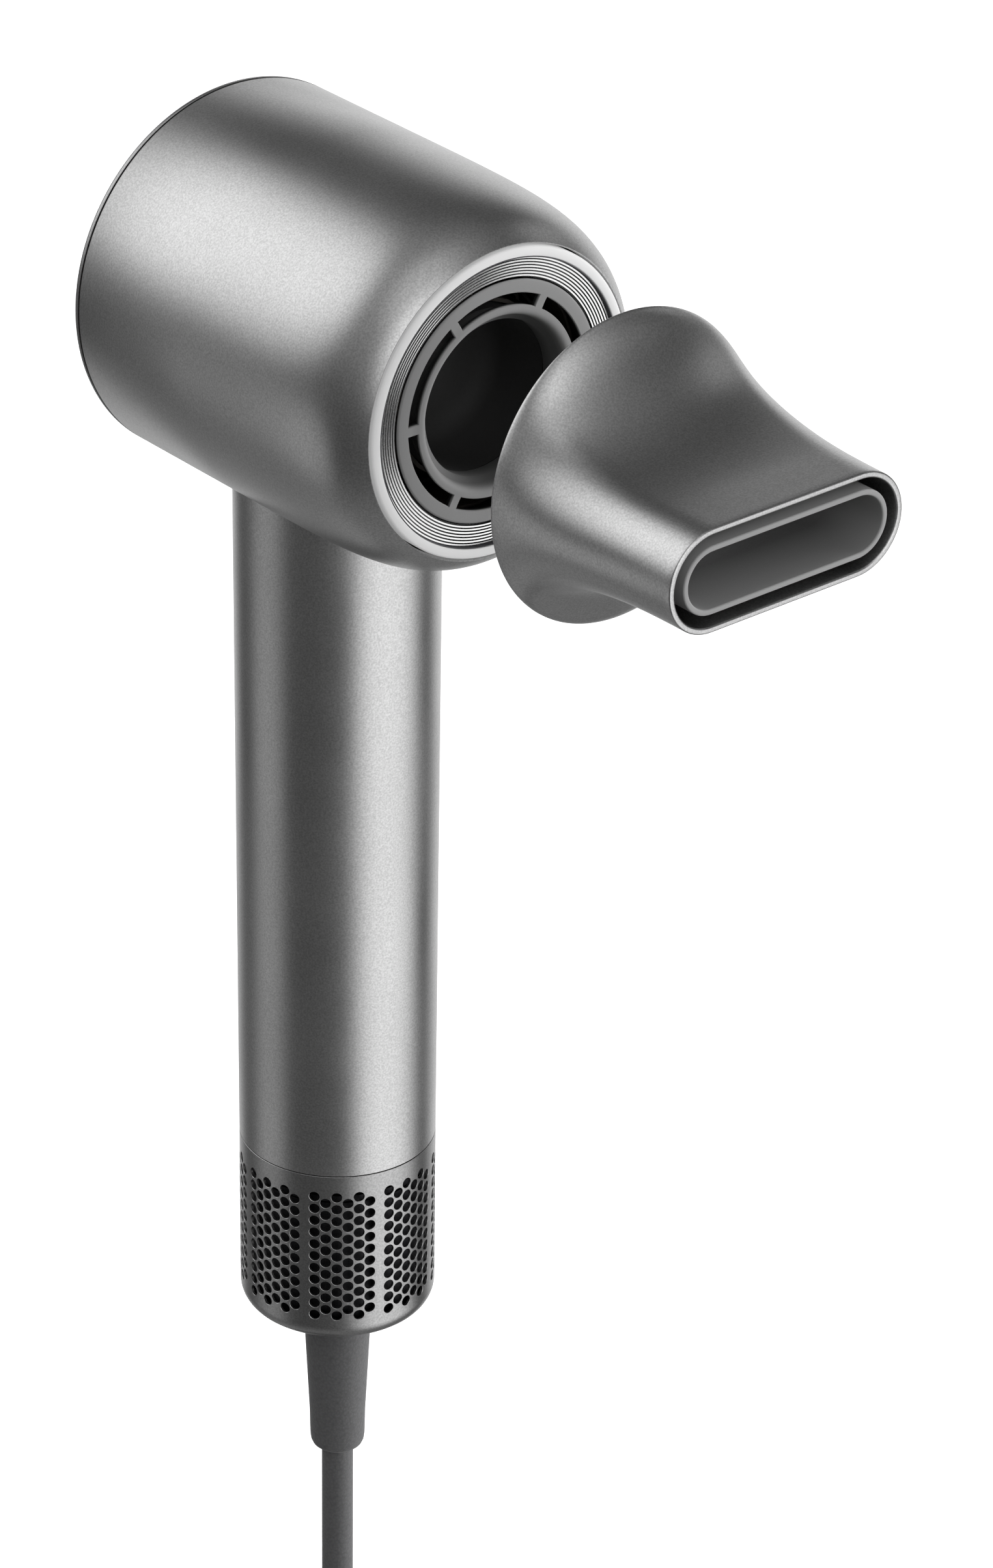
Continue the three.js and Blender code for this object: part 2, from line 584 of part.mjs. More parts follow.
const straightTube = (x, y, from, to) =>
  tube(new THREE.LineCurve3(new THREE.Vector3(x, y, from), new THREE.Vector3(x, y, to)), CORD_R, 8, 4);

add(dryer, 'cord_lead', straightTube(0, 0, RELIEF_END - GAP, hankTop + GAP), rubber);

// Two folds and a tied waist, as one outline with round ends.
function hankOutline() {
  const lean = Math.atan2(hankHeight, HANK_RUN_X + HANK_WAIST_R);
  const fold = HANK_FOLD_R + CORD_R;
  const waist = HANK_WAIST_R - CORD_R;
  const side = HANK_RUN_X + HANK_WAIST_R;
  const outline = new THREE.Shape();
  outline.absarc(0, hankHeight, fold, -lean, Math.PI + lean, false);
  outline.absarc(-side, 0, waist, lean, -lean, true);
  outline.absarc(0, -hankHeight, fold, Math.PI - lean, lean, false);
  outline.absarc(side, 0, waist, Math.PI + lean, Math.PI - lean, true);
  return outline;
}

const hankDepth = hankBack + 2 * CORD_R;
add(dryer, 'cord_hank', new THREE.ExtrudeGeometry(hankOutline(), {
  depth: hankDepth, bevelEnabled: false, curveSegments: 9,
}).rotateX(Math.PI / 2).translate(hankX, hankBack + CORD_R, HANK_Z), rubber);

const TIE = { height: 13, room: 8, thick: 1.6 };
const tieLow = -CORD_R - GAP;
const tieHigh = hankBack + CORD_R + GAP;
add(dryer, 'cord_tie', cut(solid(boxFrom(
  [hankX - TIE.room - TIE.thick, tieLow - TIE.thick, HANK_Z - TIE.height / 2],
  [hankX + TIE.room + TIE.thick, tieHigh + TIE.thick, HANK_Z + TIE.height / 2],
)), [solid(boxFrom(
  [hankX - TIE.room, tieLow, HANK_Z - TIE.height],
  [hankX + TIE.room, tieHigh, HANK_Z + TIE.height],
))]), blackPlastic);

const PLUG_TOP = hankFoot - 24;
const PLUG_FOOT = PLUG_TOP - 38;
add(dryer, 'cord_tail', straightTube(0, hankBack, hankFoot - GAP, PLUG_TOP + GAP), rubber);

function plugBody() {
  const neck = rodZ(5.2, PLUG_FOOT + 20, PLUG_TOP, 24);
  const grip = boxFrom([-12.5, -8.5, PLUG_FOOT], [12.5, 8.5, PLUG_FOOT + 24]);
  return solid(neck).add(solid(grip));
}

const plug = new THREE.Group();
plug.position.y = hankBack;
dryer.add(plug);
add(plug, 'plug_body', plugBody(), blackPlastic);
const PIN_X = 6.35;
[-PIN_X, PIN_X].forEach((x, i) => {
  const [low, high] = [[x - 0.75, -3.2, PLUG_FOOT - 17.5], [x + 0.75, 3.2, PLUG_FOOT - GAP]];
  add(plug, `plug_pin_${i + 1}`, boxFrom(low, high), steel);
});

export default dryer;
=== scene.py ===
"""A high-speed hair dryer, dressed round its CAD frame: satin metal skins over the barrel and the handle,
a turned outlet, a pierced inlet cover, a slot nozzle and a mains cord tied up in a hank.

The frame is in metres. The meshes here are made in millimetres and scaled once. +Z runs up the handle, whose
axis is x = y = 0, and air leaves the barrel towards -Y."""
import json
import math

import bmesh
import bpy
from mathutils import Matrix, Vector
from mathutils.geometry import delaunay_2d_cdt


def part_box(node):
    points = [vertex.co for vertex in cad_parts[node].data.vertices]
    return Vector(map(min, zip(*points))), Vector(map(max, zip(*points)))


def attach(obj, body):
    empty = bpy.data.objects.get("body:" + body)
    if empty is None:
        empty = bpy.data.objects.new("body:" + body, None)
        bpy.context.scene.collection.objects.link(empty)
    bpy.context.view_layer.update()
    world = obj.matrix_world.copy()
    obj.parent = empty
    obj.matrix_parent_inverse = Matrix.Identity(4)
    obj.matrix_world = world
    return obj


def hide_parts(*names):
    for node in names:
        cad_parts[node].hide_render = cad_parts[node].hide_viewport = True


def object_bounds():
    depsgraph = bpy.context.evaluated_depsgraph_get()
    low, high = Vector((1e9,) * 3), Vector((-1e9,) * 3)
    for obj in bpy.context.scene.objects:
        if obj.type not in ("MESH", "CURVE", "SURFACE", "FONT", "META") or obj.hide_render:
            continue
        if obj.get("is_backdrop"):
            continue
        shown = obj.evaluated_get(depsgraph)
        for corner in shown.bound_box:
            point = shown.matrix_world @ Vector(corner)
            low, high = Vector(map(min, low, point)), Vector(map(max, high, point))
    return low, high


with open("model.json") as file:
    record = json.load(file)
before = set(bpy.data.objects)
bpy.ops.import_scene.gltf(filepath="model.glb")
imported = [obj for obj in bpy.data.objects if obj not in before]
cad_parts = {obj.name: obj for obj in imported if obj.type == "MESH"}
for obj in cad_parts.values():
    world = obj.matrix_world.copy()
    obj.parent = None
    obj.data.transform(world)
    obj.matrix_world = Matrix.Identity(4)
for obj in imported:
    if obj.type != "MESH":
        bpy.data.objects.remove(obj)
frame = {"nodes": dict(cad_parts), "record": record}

cad_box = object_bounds()

MM = 0.001
TURN = 2 * math.pi


def low(node):
    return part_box(node)[0] / MM


def high(node):
    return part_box(node)[1] / MM


# ---------------------------------------------------------------- camera

CAMERA_PLACE = Vector((-0.658377, -0.824344, 0.575663))
CAMERA_AZIMUTH = math.radians(-38.594)
CAMERA_ELEVATION = math.radians(28.687)
CAMERA_LENS = 145.763
CAMERA_SHIFT_X = 0.10256

camera = bpy.data.objects.new("camera", bpy.data.cameras.new("camera"))
bpy.context.scene.collection.objects.link(camera)
camera.data.lens = CAMERA_LENS
camera.data.sensor_width = 36
camera.data.shift_x = CAMERA_SHIFT_X
camera.data.clip_start = 0.01
across = Vector((math.cos(CAMERA_AZIMUTH), math.sin(CAMERA_AZIMUTH), 0))
back = Vector((
    math.sin(CAMERA_AZIMUTH) * math.cos(CAMERA_ELEVATION),
    -math.cos(CAMERA_AZIMUTH) * math.cos(CAMERA_ELEVATION),
    math.sin(CAMERA_ELEVATION),
))
camera.matrix_world = Matrix.LocRotScale(
    CAMERA_PLACE, Matrix((across, back.cross(across), back)).transposed().to_quaternion(), None,
)
bpy.context.scene.camera = camera


# ---------------------------------------------------------------- materials

class Finish:
    """A procedural material. Its grain comes from noise in object space, in metres."""

    def __init__(self, name, metallic=0.0, **sockets):
        self.material = bpy.data.materials.new(name)
        self.material.use_nodes = True
        self.tree = self.material.node_tree
        self.shader = self.tree.nodes["Principled BSDF"]
        self.shader.inputs["Metallic"].default_value = metallic
        for socket, value in sockets.items():
            self.shader.inputs[socket.replace("_", " ")].default_value = value
        self.place = self.tree.nodes.new("ShaderNodeTexCoord").outputs["Object"]
        self.normal = None

    def node(self, kind, inputs, **settings):
        made = self.tree.nodes.new(kind)
        for key, value in settings.items():
            setattr(made, key, value)
        for socket, value in inputs.items():
            if isinstance(value, bpy.types.NodeSocket):
                self.tree.links.new(value, made.inputs[socket])
            else:
                made.inputs[socket].default_value = value
        return made

    def noise(self, size, detail=2.0, where=None, stretch=None):
        """Noise from 0 to 1 whose features are about `size` millimetres across."""
        where = where or self.place
        if stretch:
            where = self.node("ShaderNodeMapping", {"Vector": where, "Scale": stretch}).outputs[0]
        inputs = {"Vector": where, "Scale": 1 / (size * MM), "Detail": detail, "Roughness": 0.55}
        return self.node("ShaderNodeTexNoise", inputs).outputs["Fac"]

    def cells(self, size):
        inputs = {"Vector": self.place, "Scale": 1 / (size * MM)}
        return self.node("ShaderNodeTexVoronoi", inputs, feature="SMOOTH_F1").outputs["Distance"]

    def along_barrel(self):
        return self.node("ShaderNodeSeparateXYZ", {0: self.place}).outputs["Y"]

    def barrel_radius(self):
        """Distance from the barrel's axis."""
        lift = self.node("ShaderNodeVectorMath", {0: self.place, 1: (0, 0, -BARREL_Z * MM)}, operation="ADD")
        flat = self.node("ShaderNodeVectorMath", {0: lift.outputs[0], 1: (1, 0, 1)}, operation="MULTIPLY")
        return self.node("ShaderNodeVectorMath", {0: flat.outputs[0]}, operation="LENGTH").outputs["Value"]

    def span(self, value, low_value, high_value, start=0.3, end=0.7):
        """Noise between start and end becomes a number between low_value and high_value."""
        inputs = {0: value, 1: start, 2: end, 3: low_value, 4: high_value}
        return self.node("ShaderNodeMapRange", inputs).outputs[0]

    def colour(self, dark, light, value):
        mixed = self.node("ShaderNodeMix", {0: value, 6: (*dark, 1), 7: (*light, 1)}, data_type="RGBA")
        self.tree.links.new(mixed.outputs[2], self.shader.inputs["Base Color"])
        return self

    def rough(self, low_value, high_value, value):
        self.tree.links.new(self.span(value, low_value, high_value), self.shader.inputs["Roughness"])
        return self

    def bump(self, value, depth, strength=1.0):
        """Depth in millimetres."""
        inputs = {"Height": value, "Distance": depth * MM, "Strength": strength}
        if self.normal:
            inputs["Normal"] = self.normal
        self.normal = self.node("ShaderNodeBump", inputs).outputs[0]
        self.tree.links.new(self.normal, self.shader.inputs["Normal"])
        return self


def grey(level):
    return (level, level, level)


def satin_metal(name, level, roughness):
    """Metallic paint: fine flakes, and a slow unevenness that hardly shows."""
    made = Finish(name, metallic=1.0)
    flakes = made.noise(0.35, detail=1.0)
    slow = made.noise(30, detail=2.0)
    made.colour(grey(level * 0.85), grey(level * 1.15), made.span(flakes, 0, 1))
    made.rough(roughness - 0.03, roughness + 0.03, slow)
    return made.bump(flakes, 0.006).material


def moulded(name, colour, roughness=0.55, grain=0.45, depth=0.012):
    """Moulded plastic with a spark-eroded grain."""
    made = Finish(name, Specular_IOR_Level=0.4)
    fine = made.noise(grain, detail=3.0)
    slow = made.noise(12, detail=2.0)
    made.colour([0.9 * c for c in colour], [1.08 * c for c in colour], made.span(slow, 0, 1))
    made.rough(roughness - 0.05, roughness + 0.05, fine)
    return made.bump(fine, depth).material


def painted_glow_plastic(name, level, glow):
    """Translucent white plastic with a dim, even painted glow that makes it look evenly lit."""
    made = Finish(name, Emission_Strength=glow, Emission_Color=(1, 1, 1, 1), Specular_IOR_Level=0.4)
    fine = made.noise(0.3, detail=3.0)
    made.colour(grey(level * 0.97), grey(level * 1.03), made.span(made.noise(12), 0, 1))
    made.rough(0.45, 0.55, fine)
    return made.bump(fine, 0.003).material


def outlet_plastic_painted_shade(name, colour):
    """Moulded plastic with painted shade: its colour darkens with depth, at once in the grille's slots,
    slowly in its lip and duct.
    """
    made = Finish(name, Specular_IOR_Level=0.3)
    fine = made.noise(0.4, detail=3.0)
    along = made.along_barrel()
    radius = made.barrel_radius()
    # Painted shade: near black deep in the slots and the lip, darker towards the back of the nozzle's duct.
    reach = made.span(radius, LIP_DEPTH * MM, SLOT_DEPTH * MM, LIP_R * MM, (LIP_R + 0.3) * MM)
    grille = made.span(along, 1, 0, GRILLE_SHADE_START * MM, reach)
    duct = made.span(along, 1, DUCT_DARKEST, DUCT_SHADE[0] * MM, DUCT_SHADE[1] * MM)
    on_grille = made.span(along, 0, 1, (BETWEEN_THEM - 1) * MM, BETWEEN_THEM * MM)
    shade = made.node("ShaderNodeMix", {0: on_grille, 2: duct, 3: grille}).outputs[0]
    made.colour([0.06 * c for c in colour], colour, shade)
    made.rough(0.5, 0.6, fine)
    return made.bump(fine, 0.008).material


def rubber(name, colour, roughness, grain, depth):
    """Soft matte rubber with a fine leather-like grain."""
    made = Finish(name, Specular_IOR_Level=0.35, Sheen_Weight=0.15, Sheen_Roughness=0.5)
    skin = made.cells(grain)
    fine = made.noise(grain * 0.5, detail=2.0)
    made.colour([0.82 * c for c in colour], [1.15 * c for c in colour], made.span(skin, 1, 0, 0.1, 0.8))
    made.rough(roughness - 0.06, roughness + 0.06, fine)
    return made.bump(skin, depth, 0.8).bump(fine, depth * 0.4).material


def turned_metal(name, level, roughness):
    """Metal with fine concentric tool marks about the barrel's axis."""
    made = Finish(name, metallic=1.0)
    rings = made.node("ShaderNodeCombineXYZ", {"X": made.barrel_radius()}).outputs[0]
    marks = made.noise(0.25, detail=1.0, where=rings)
    fine = made.noise(0.3)
    made.colour(grey(level * 0.95), grey(level * 1.04), made.span(marks, 0, 1))
    made.rough(roughness - 0.04, roughness + 0.04, fine)
    return made.bump(marks, 0.0008).material


def grooved_metal_painted_shade(name, level, roughness):
    """Turned metal with painted shade in its grooves: near black over each groove's share of the pitch."""
    made = Finish(name, metallic=1.0)
    turns = made.span(made.barrel_radius(), GROOVES, 0, GROOVED_R[0] * MM, GROOVED_R[1] * MM)
    share = made.node("ShaderNodeMath", {0: turns}, operation="FRACT").outputs[0]
    # Painted shade: the colour goes near black where each groove lies.
    groove = made.node("ShaderNodeMath", {0: share, 1: GROOVE_START}, operation="GREATER_THAN").outputs[0]
    fine = made.noise(0.3)
    made.colour(grey(level), grey(level * 0.05), groove)
    made.rough(roughness - 0.04, roughness + 0.04, fine)
    return made.bump(fine, 0.0005).material


def drawn_metal(name, colour, roughness):
    """Plain machined or drawn metal."""
    made = Finish(name, metallic=1.0)
    streaks = made.noise(0.25, detail=3.0, stretch=(1, 1, 0.12))
    made.colour([0.86 * c for c in colour], [1.1 * c for c in colour], made.span(streaks, 0, 1))
    made.rough(roughness - 0.06, roughness + 0.08, streaks)
    return made.bump(streaks, 0.006).material


BARREL_Z = (low("rear_cover").z + high("rear_cover").z) / 2
# Where the outlet's painted shade starts and where it is darkest.
GRILLE_SHADE_START = low("outlet_grille").y + 0.15
SLOT_DEPTH = low("outlet_grille").y + 0.6
LIP_DEPTH = low("outlet_grille").y + 8
DUCT_SHADE = (low("nozzle_duct").y + 0.5, low("nozzle_duct").y + 13)
DUCT_DARKEST = 0.35
LIP_R = 17.5  # the grille's lip is inside this radius, its slots outside
BETWEEN_THEM = -60  # the nozzle's duct is in front of here, the grille behind
GROOVED_R = (23.3, 27.25)
GROOVES = 7
GROOVE_PITCH = (GROOVED_R[1] - GROOVED_R[0]) / GROOVES
# Each groove's painted shade starts this share of the pitch in.
GROOVE_START = 0.7  # share of the pitch before each groove

FINISHES = {
    "shell_metal": satin_metal("shell_metal", 0.50, 0.32),
    "cover_metal": satin_metal("cover_metal", 0.38, 0.32),
    "button_metal": satin_metal("button_metal", 0.34, 0.30),
    # The light ring's glow is painted light.
    "ring_white": painted_glow_plastic("ring_white", 0.55, 0.20),
    "ring_steel": turned_metal("ring_steel", 0.80, 0.24),
    "grooved_steel": grooved_metal_painted_shade("grooved_steel", 0.74, 0.24),
    "grille_grey": outlet_plastic_painted_shade("grille_grey", (0.27, 0.27, 0.27)),
    "cup_black": moulded("cup_black", (0.045, 0.045, 0.045), 0.7),
    # Painted shade: frame_plastic and mica are far darker than the real materials, so what shows through the
    # slots reads as dark.
    "frame_plastic": moulded("frame_plastic", (0.035, 0.035, 0.036)),
    "mica": moulded("mica", (0.04, 0.036, 0.03), 0.6, 2.0, 0.03),
    "part_dark": moulded("part_dark", (0.07, 0.07, 0.075)),
    "board_green": moulded("board_green", (0.04, 0.18, 0.08), 0.4, 0.8),
    "plug_black": moulded("plug_black", (0.028, 0.028, 0.03), 0.6),
    "rubber_grey": rubber("rubber_grey", (0.095, 0.095, 0.097), 0.62, 0.5, 0.05),
    "rubber_black": rubber("rubber_black", (0.03, 0.03, 0.03), 0.6, 0.5, 0.03),
    # Painted shade: wire_steel is far darker than real steel, so it reads as dark through the slots.
    "wire_steel": drawn_metal("wire_steel", (0.04, 0.038, 0.036), 0.5),
    "machined_steel": drawn_metal("machined_steel", (0.60, 0.60, 0.62), 0.28),
    "magnet": drawn_metal("magnet", (0.40, 0.40, 0.42), 0.3),
    # Painted shade: mesh_steel is far darker than real steel, so the holes read as dark.
    "mesh_steel": drawn_metal("mesh_steel", (0.025, 0.025, 0.027), 0.5),
    "copper": drawn_metal("copper", (0.62, 0.28, 0.13), 0.3),
}

for part in frame["record"]["subparts"]:
    node = frame["nodes"][part["node"]]
    node.data.materials.clear()
    node.data.materials.append(FINISHES[part["material_slot"]])


# ---------------------------------------------------------------- mesh helpers

def piece(name, mesh_parts, slot, nodes, body="root", sharp=32, normals=None):
    """A closed mesh from (points in millimetres, faces), standing for CAD nodes and riding on a body.
    normals gives some faces their exact shading: {face index: {point index: normal}}."""
    points, faces = mesh_parts
    mesh = bpy.data.meshes.new(name)
    mesh.from_pydata([Vector(point) * MM for point in points], [], faces)
    draft = bmesh.new()
    draft.from_mesh(mesh)
    bmesh.ops.recalc_face_normals(draft, faces=draft.faces)
    draft.to_mesh(mesh)
    draft.free()
    mesh.shade_smooth()
    mesh.set_sharp_from_angle(angle=math.radians(sharp))
    if normals:
        exact = [Vector()] * len(mesh.loops)
        for face in mesh.polygons:
            given = normals.get(face.index)
            for loop in face.loop_indices if given else ():
                normal = given[mesh.loops[loop].vertex_index]
                exact[loop] = normal if normal.dot(face.normal) > 0 else -normal
        mesh.normals_split_custom_set(exact)
    mesh.materials.append(FINISHES[slot])
    made = bpy.data.objects.new(name, mesh)
    bpy.context.scene.collection.objects.link(made)
    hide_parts(*nodes)
    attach(made, body)
    return made


def rounded(corners, steps=4):
    """A closed outline from (across, along, radius) corners, with arcs at its corners."""
    outline = []
    for i, (x, y, radius) in enumerate(corners):
        corner = Vector((x, y))
        if not radius:
            outline.append(corner)
            continue
        before = (Vector(corners[i - 1][:2]) - corner).normalized()
        after = (Vector(corners[(i + 1) % len(corners)][:2]) - corner).normalized()
        half = before.angle(after) / 2
        centre = corner + (before + after).normalized() * radius / math.sin(half)
        start = corner + before * radius / math.tan(half) - centre
        end = corner + after * radius / math.tan(half) - centre
        outline += [centre + start.lerp(end, k / steps).normalized() * radius for k in range(steps + 1)]
    return outline


def skin(rings, closed):
    """A skin over rings of points. A ring of one point is a tip. If closed, the last ring joins the first."""
    points, faces, starts = [], [], []
    for ring in rings:
        starts.append(len(points))
        points += ring
    pairs = list(zip(range(len(rings)), range(1, len(rings))))
    if closed:
        pairs.append((len(rings) - 1, 0))
    for i, j in pairs:
        count = max(len(rings[i]), len(rings[j]))
        for k in range(count):
            n = (k + 1) % count
            a, b = (starts[i] + k, starts[i] + n) if len(rings[i]) > 1 else (starts[i], None)
            d, c = (starts[j] + k, starts[j] + n) if len(rings[j]) > 1 else (starts[j], None)
            faces.append([v for v in (a, b, c, d) if v is not None])
    return points, faces


def turned(outline, axis="Y", segments=128, height=BARREL_Z):
    """An outline of (radius, along) points turned about the handle's axis, or about a line along Y."""
    def spot(radius, along, angle):
        x, y = radius * math.cos(angle), radius * math.sin(angle)
        return Vector((x, y, along)) if axis == "Z" else Vector((x, along, y + height))

    on_axis = outline[0][0] < 1e-6
    rings = []
    for radius, along in outline:
        count = 1 if radius < 1e-6 else segments
        rings.append([spot(radius, along, k * TURN / count) for k in range(count)])
    return skin(rings, closed=not on_axis)


def band(inner, outer, start, end, edge=0.25):
    """A ring's outline, with rounded edges."""
    return rounded([(inner, start, edge), (outer, start, edge), (outer, end, edge), (inner, end, edge)])


def thickened(points, faces, normals, wall, edge):
    """A skin given a wall behind it, with chamfered edges at its rims and holes.
    Also gives the exact normals of the front and back faces."""
    directed = {(face[k - 1], face[k]) for face in faces for k in range(len(face))}
    rim = [(a, b) for a, b in directed if (b, a) not in directed]
    outward = {}
    for a, b in sorted(rim):
        away = (points[b] - points[a]).cross(normals[a] + normals[b]).normalized()
        for v in (a, b):
            outward[v] = outward.get(v, Vector()) + away
    made = list(points)
    backs = {}
    for v, point in enumerate(points):
        backs[v] = len(made)
        made.append(point - normals[v] * wall)
    inner_front, inner_back = {}, {}
    for v, away in outward.items():
        away = away.normalized() * edge
        inner_front[v] = len(made)
        made.append(points[v] + away - normals[v] * edge)
        inner_back[v] = len(made)
        made.append(points[v] + away - normals[v] * (wall - edge))
    fronts = list(faces) + [[backs[v] for v in reversed(face)] for face in faces]
    exact = {}
    for index, face in enumerate(faces):
        exact[index] = {v: normals[v] for v in face}
        exact[index + len(faces)] = {backs[v]: -normals[v] for v in face}
    layers = [{v: v for v in outward}, inner_front, inner_back, {v: backs[v] for v in outward}]
    sides = [
        [upper[b], upper[a], lower[a], lower[b]]
        for a, b in sorted(rim) for upper, lower in zip(layers, layers[1:])
    ]
    return (made, fronts + sides), exact


def wrapped(flat, faces, place, wall, edge):
    """A flat sheet of (turn, along) points laid on a surface and thickened."""
    step = 1e-3
    points, normals = [], []
    for turn, along in flat:
        points.append(place(turn, along))
        round_way = place(turn + step, along) - place(turn - step, along)
        along_way = place(turn, along + step) - place(turn, along - step)
        normals.append(round_way.cross(along_way).normalized())
    return thickened(points, faces, normals, wall, edge)


def pierced(border, inside, holes):
    """Triangles that fill a flat border round holes. All are (across, along) points."""
    points = [Vector(p) for p in border]
    edges = [(k, (k + 1) % len(border)) for k in range(len(border))]
    for hole in holes:
        start = len(points)
        points += [Vector(p) for p in hole]
        edges += [(start + k, start + (k + 1) % len(hole)) for k in range(len(hole))]
    first_inside = len(points)
    points += [Vector(p) for p in inside]
    made, _, triangles, origins, _, _ = delaunay_2d_cdt(points, edges, [], 1, 1e-7)
    rank = [min(o) if o else None for o in origins]
    ranges = []
    start = len(border)
    for hole in holes:
        ranges.append(range(start, start + len(hole)))
        start += len(hole)
    owner = {v: i for i, span in enumerate(ranges) for v in span}
    kept = []
    for triangle in triangles:
        owners = {owner.get(rank[v]) if rank[v] < first_inside else None for v in triangle}
        if len(owners) > 1 or owners == {None}:
            kept.append([rank[v] for v in triangle])
    return points, kept


def facing_out(points, triangles):
    """The same triangles, all wound one way."""
    wound = []
    for triangle in triangles:
        a, b, c = (points[v] for v in triangle)
        wound.append(triangle if (b - a).cross(c - b) > 0 else triangle[::-1])
    return wound


def ring_about(centre, radius, count, stretch=0.0):
    """A circle, or a slot that reaches `stretch` further along each way."""
    outline = []
    for k in range(count):
        angle = (k + 0.5) * TURN / count
        rise = math.sin(angle)
        outline.append((
            centre[0] + radius * math.cos(angle),
            centre[1] + radius * rise + math.copysign(stretch, rise),
        ))
    return outline


# ---------------------------------------------------------------- mains cord, its tie and its plug

CORD_R = (high("cord_lead").x - low("cord_lead").x) / 2
HANK_Z = (low("cord_hank").z + high("cord_hank").z) / 2
FOLD_R = 18.9
WAIST_R = 25.2
RUN_X = 3.2
HANK_X = -RUN_X
HANK_TURNS = 6
HANK_PITCH = 6.4
STEP_ASIDE = 1.7
CORD_START = low("strain_relief").z + 0.5
hank_side = RUN_X + WAIST_R
hank_height = math.sqrt((FOLD_R + WAIST_R) ** 2 - hank_side ** 2)
hank_lean = math.atan2(hank_height, hank_side)
hank_back = HANK_TURNS * HANK_PITCH + STEP_ASIDE


def hank_arcs():
    """One turn of the hank from the right-hand run at its waist: (centre, radius, start and end angle)."""
    half = math.pi
    return [
        ((hank_side, 0), WAIST_R, half, half + hank_lean),
        ((0, -hank_height), FOLD_R, hank_lean, hank_lean - (half + 2 * hank_lean)),
        ((-hank_side, 0), WAIST_R, -hank_lean, hank_lean),
        ((0, hank_height), FOLD_R, half + hank_lean, -hank_lean),
        ((hank_side, 0), WAIST_R, half - hank_lean, half),
    ]


def hank_turn(points_per_turn=40):
    """(x, z) points of one turn with how far round they are, evenly spaced."""
    arcs = hank_arcs()
    lengths = [radius * abs(end - start) for _, radius, start, end in arcs]
    total = sum(lengths)
    for k in range(points_per_turn):
        left = total * k / points_per_turn
        for (centre, radius, start, end), length in zip(arcs, lengths):
            if left <= length:
                angle = start + (end - start) * left / length
                x, z = centre[0] + radius * math.cos(angle), centre[1] + radius * math.sin(angle)
                yield x, z, k / points_per_turn
                break
            left -= length


def hank_depth(turns):
    """How far back the cord lies after so many turns. It steps aside where the lead and the tail pass."""
    def ease(t):
        t = min(max(t, 0), 1)
        return t * t * (3 - 2 * t)

    half_step = STEP_ASIDE / 2
    ends = ease((turns - HANK_TURNS + 0.25) * 4) - ease((0.25 - turns) * 4)
    swing = (half_step - 0.1) * math.sin(TURN * turns)
    return HANK_PITCH * turns + half_step - swing + half_step * ends


lead_heights = (CORD_START, -155, -160, -168, -176, *range(-186, -257, -10))
tail_heights = (HANK_Z, *range(-270, -331, -10), high("plug_body").z - 0.5)
cord_route = [(0, 0, z) for z in lead_heights]
for turn in range(HANK_TURNS):
    cord_route += [(HANK_X + x, hank_depth(turn + part), HANK_Z + z) for x, z, part in hank_turn()]
cord_route += [(0, hank_back, z) for z in tail_heights]

cord_curve = bpy.data.curves.new("mains_cord", "CURVE")
cord_curve.dimensions = "3D"
cord_curve.bevel_depth = CORD_R * MM
cord_curve.bevel_resolution = 6
cord_curve.use_fill_caps = True
cord_curve.resolution_u = 3
cord_line = cord_curve.splines.new("BEZIER")
cord_line.bezier_points.add(len(cord_route) - 1)
for knot, spot in zip(cord_line.bezier_points, cord_route):
    knot.co = Vector(spot) * MM
    knot.handle_left_type = knot.handle_right_type = "AUTO"
cord_curve.materials.append(FINISHES["rubber_grey"])
cord = bpy.data.objects.new("mains_cord", cord_curve)
bpy.context.scene.collection.objects.link(cord)
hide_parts("cord_lead", "cord_hank", "cord_tail")
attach(cord, "root")
cord_length = sum((Vector(b) - Vector(a)).length for a, b in zip(cord_route, cord_route[1:])) * MM


def rounded_box_ring(half_x, half_y, corner, centre, z, count=10):
    """A rounded rectangle across Z."""
    ring = []
    for quarter, (sx, sy) in enumerate(((1, 1), (-1, 1), (-1, -1), (1, -1))):
        for k in range(count):
            angle = (quarter + k / (count - 1)) * TURN / 4
            ring.append(Vector((
                centre[0] + sx * (half_x - corner) + corner * math.cos(angle),
                centre[1] + sy * (half_y - corner) + corner * math.sin(angle),
                z,
            )))
    return ring


def cord_tie():
    lowest, highest = low("cord_tie"), high("cord_tie")
    centre = (lowest + highest) / 2
    half = (highest - lowest) / 2
    section = rounded([(0, -half.z, 0.5), (1.6, -half.z, 0.5), (1.6, half.z, 0.5), (0, half.z, 0.5)])
    rings = [
        rounded_box_ring(half.x - inset, half.y - inset, 5 - inset, centre, centre.z + z)
        for inset, z in section
    ]
    return piece("cord_tie_strap", skin(rings, closed=True), "plug_black", ["cord_tie"])


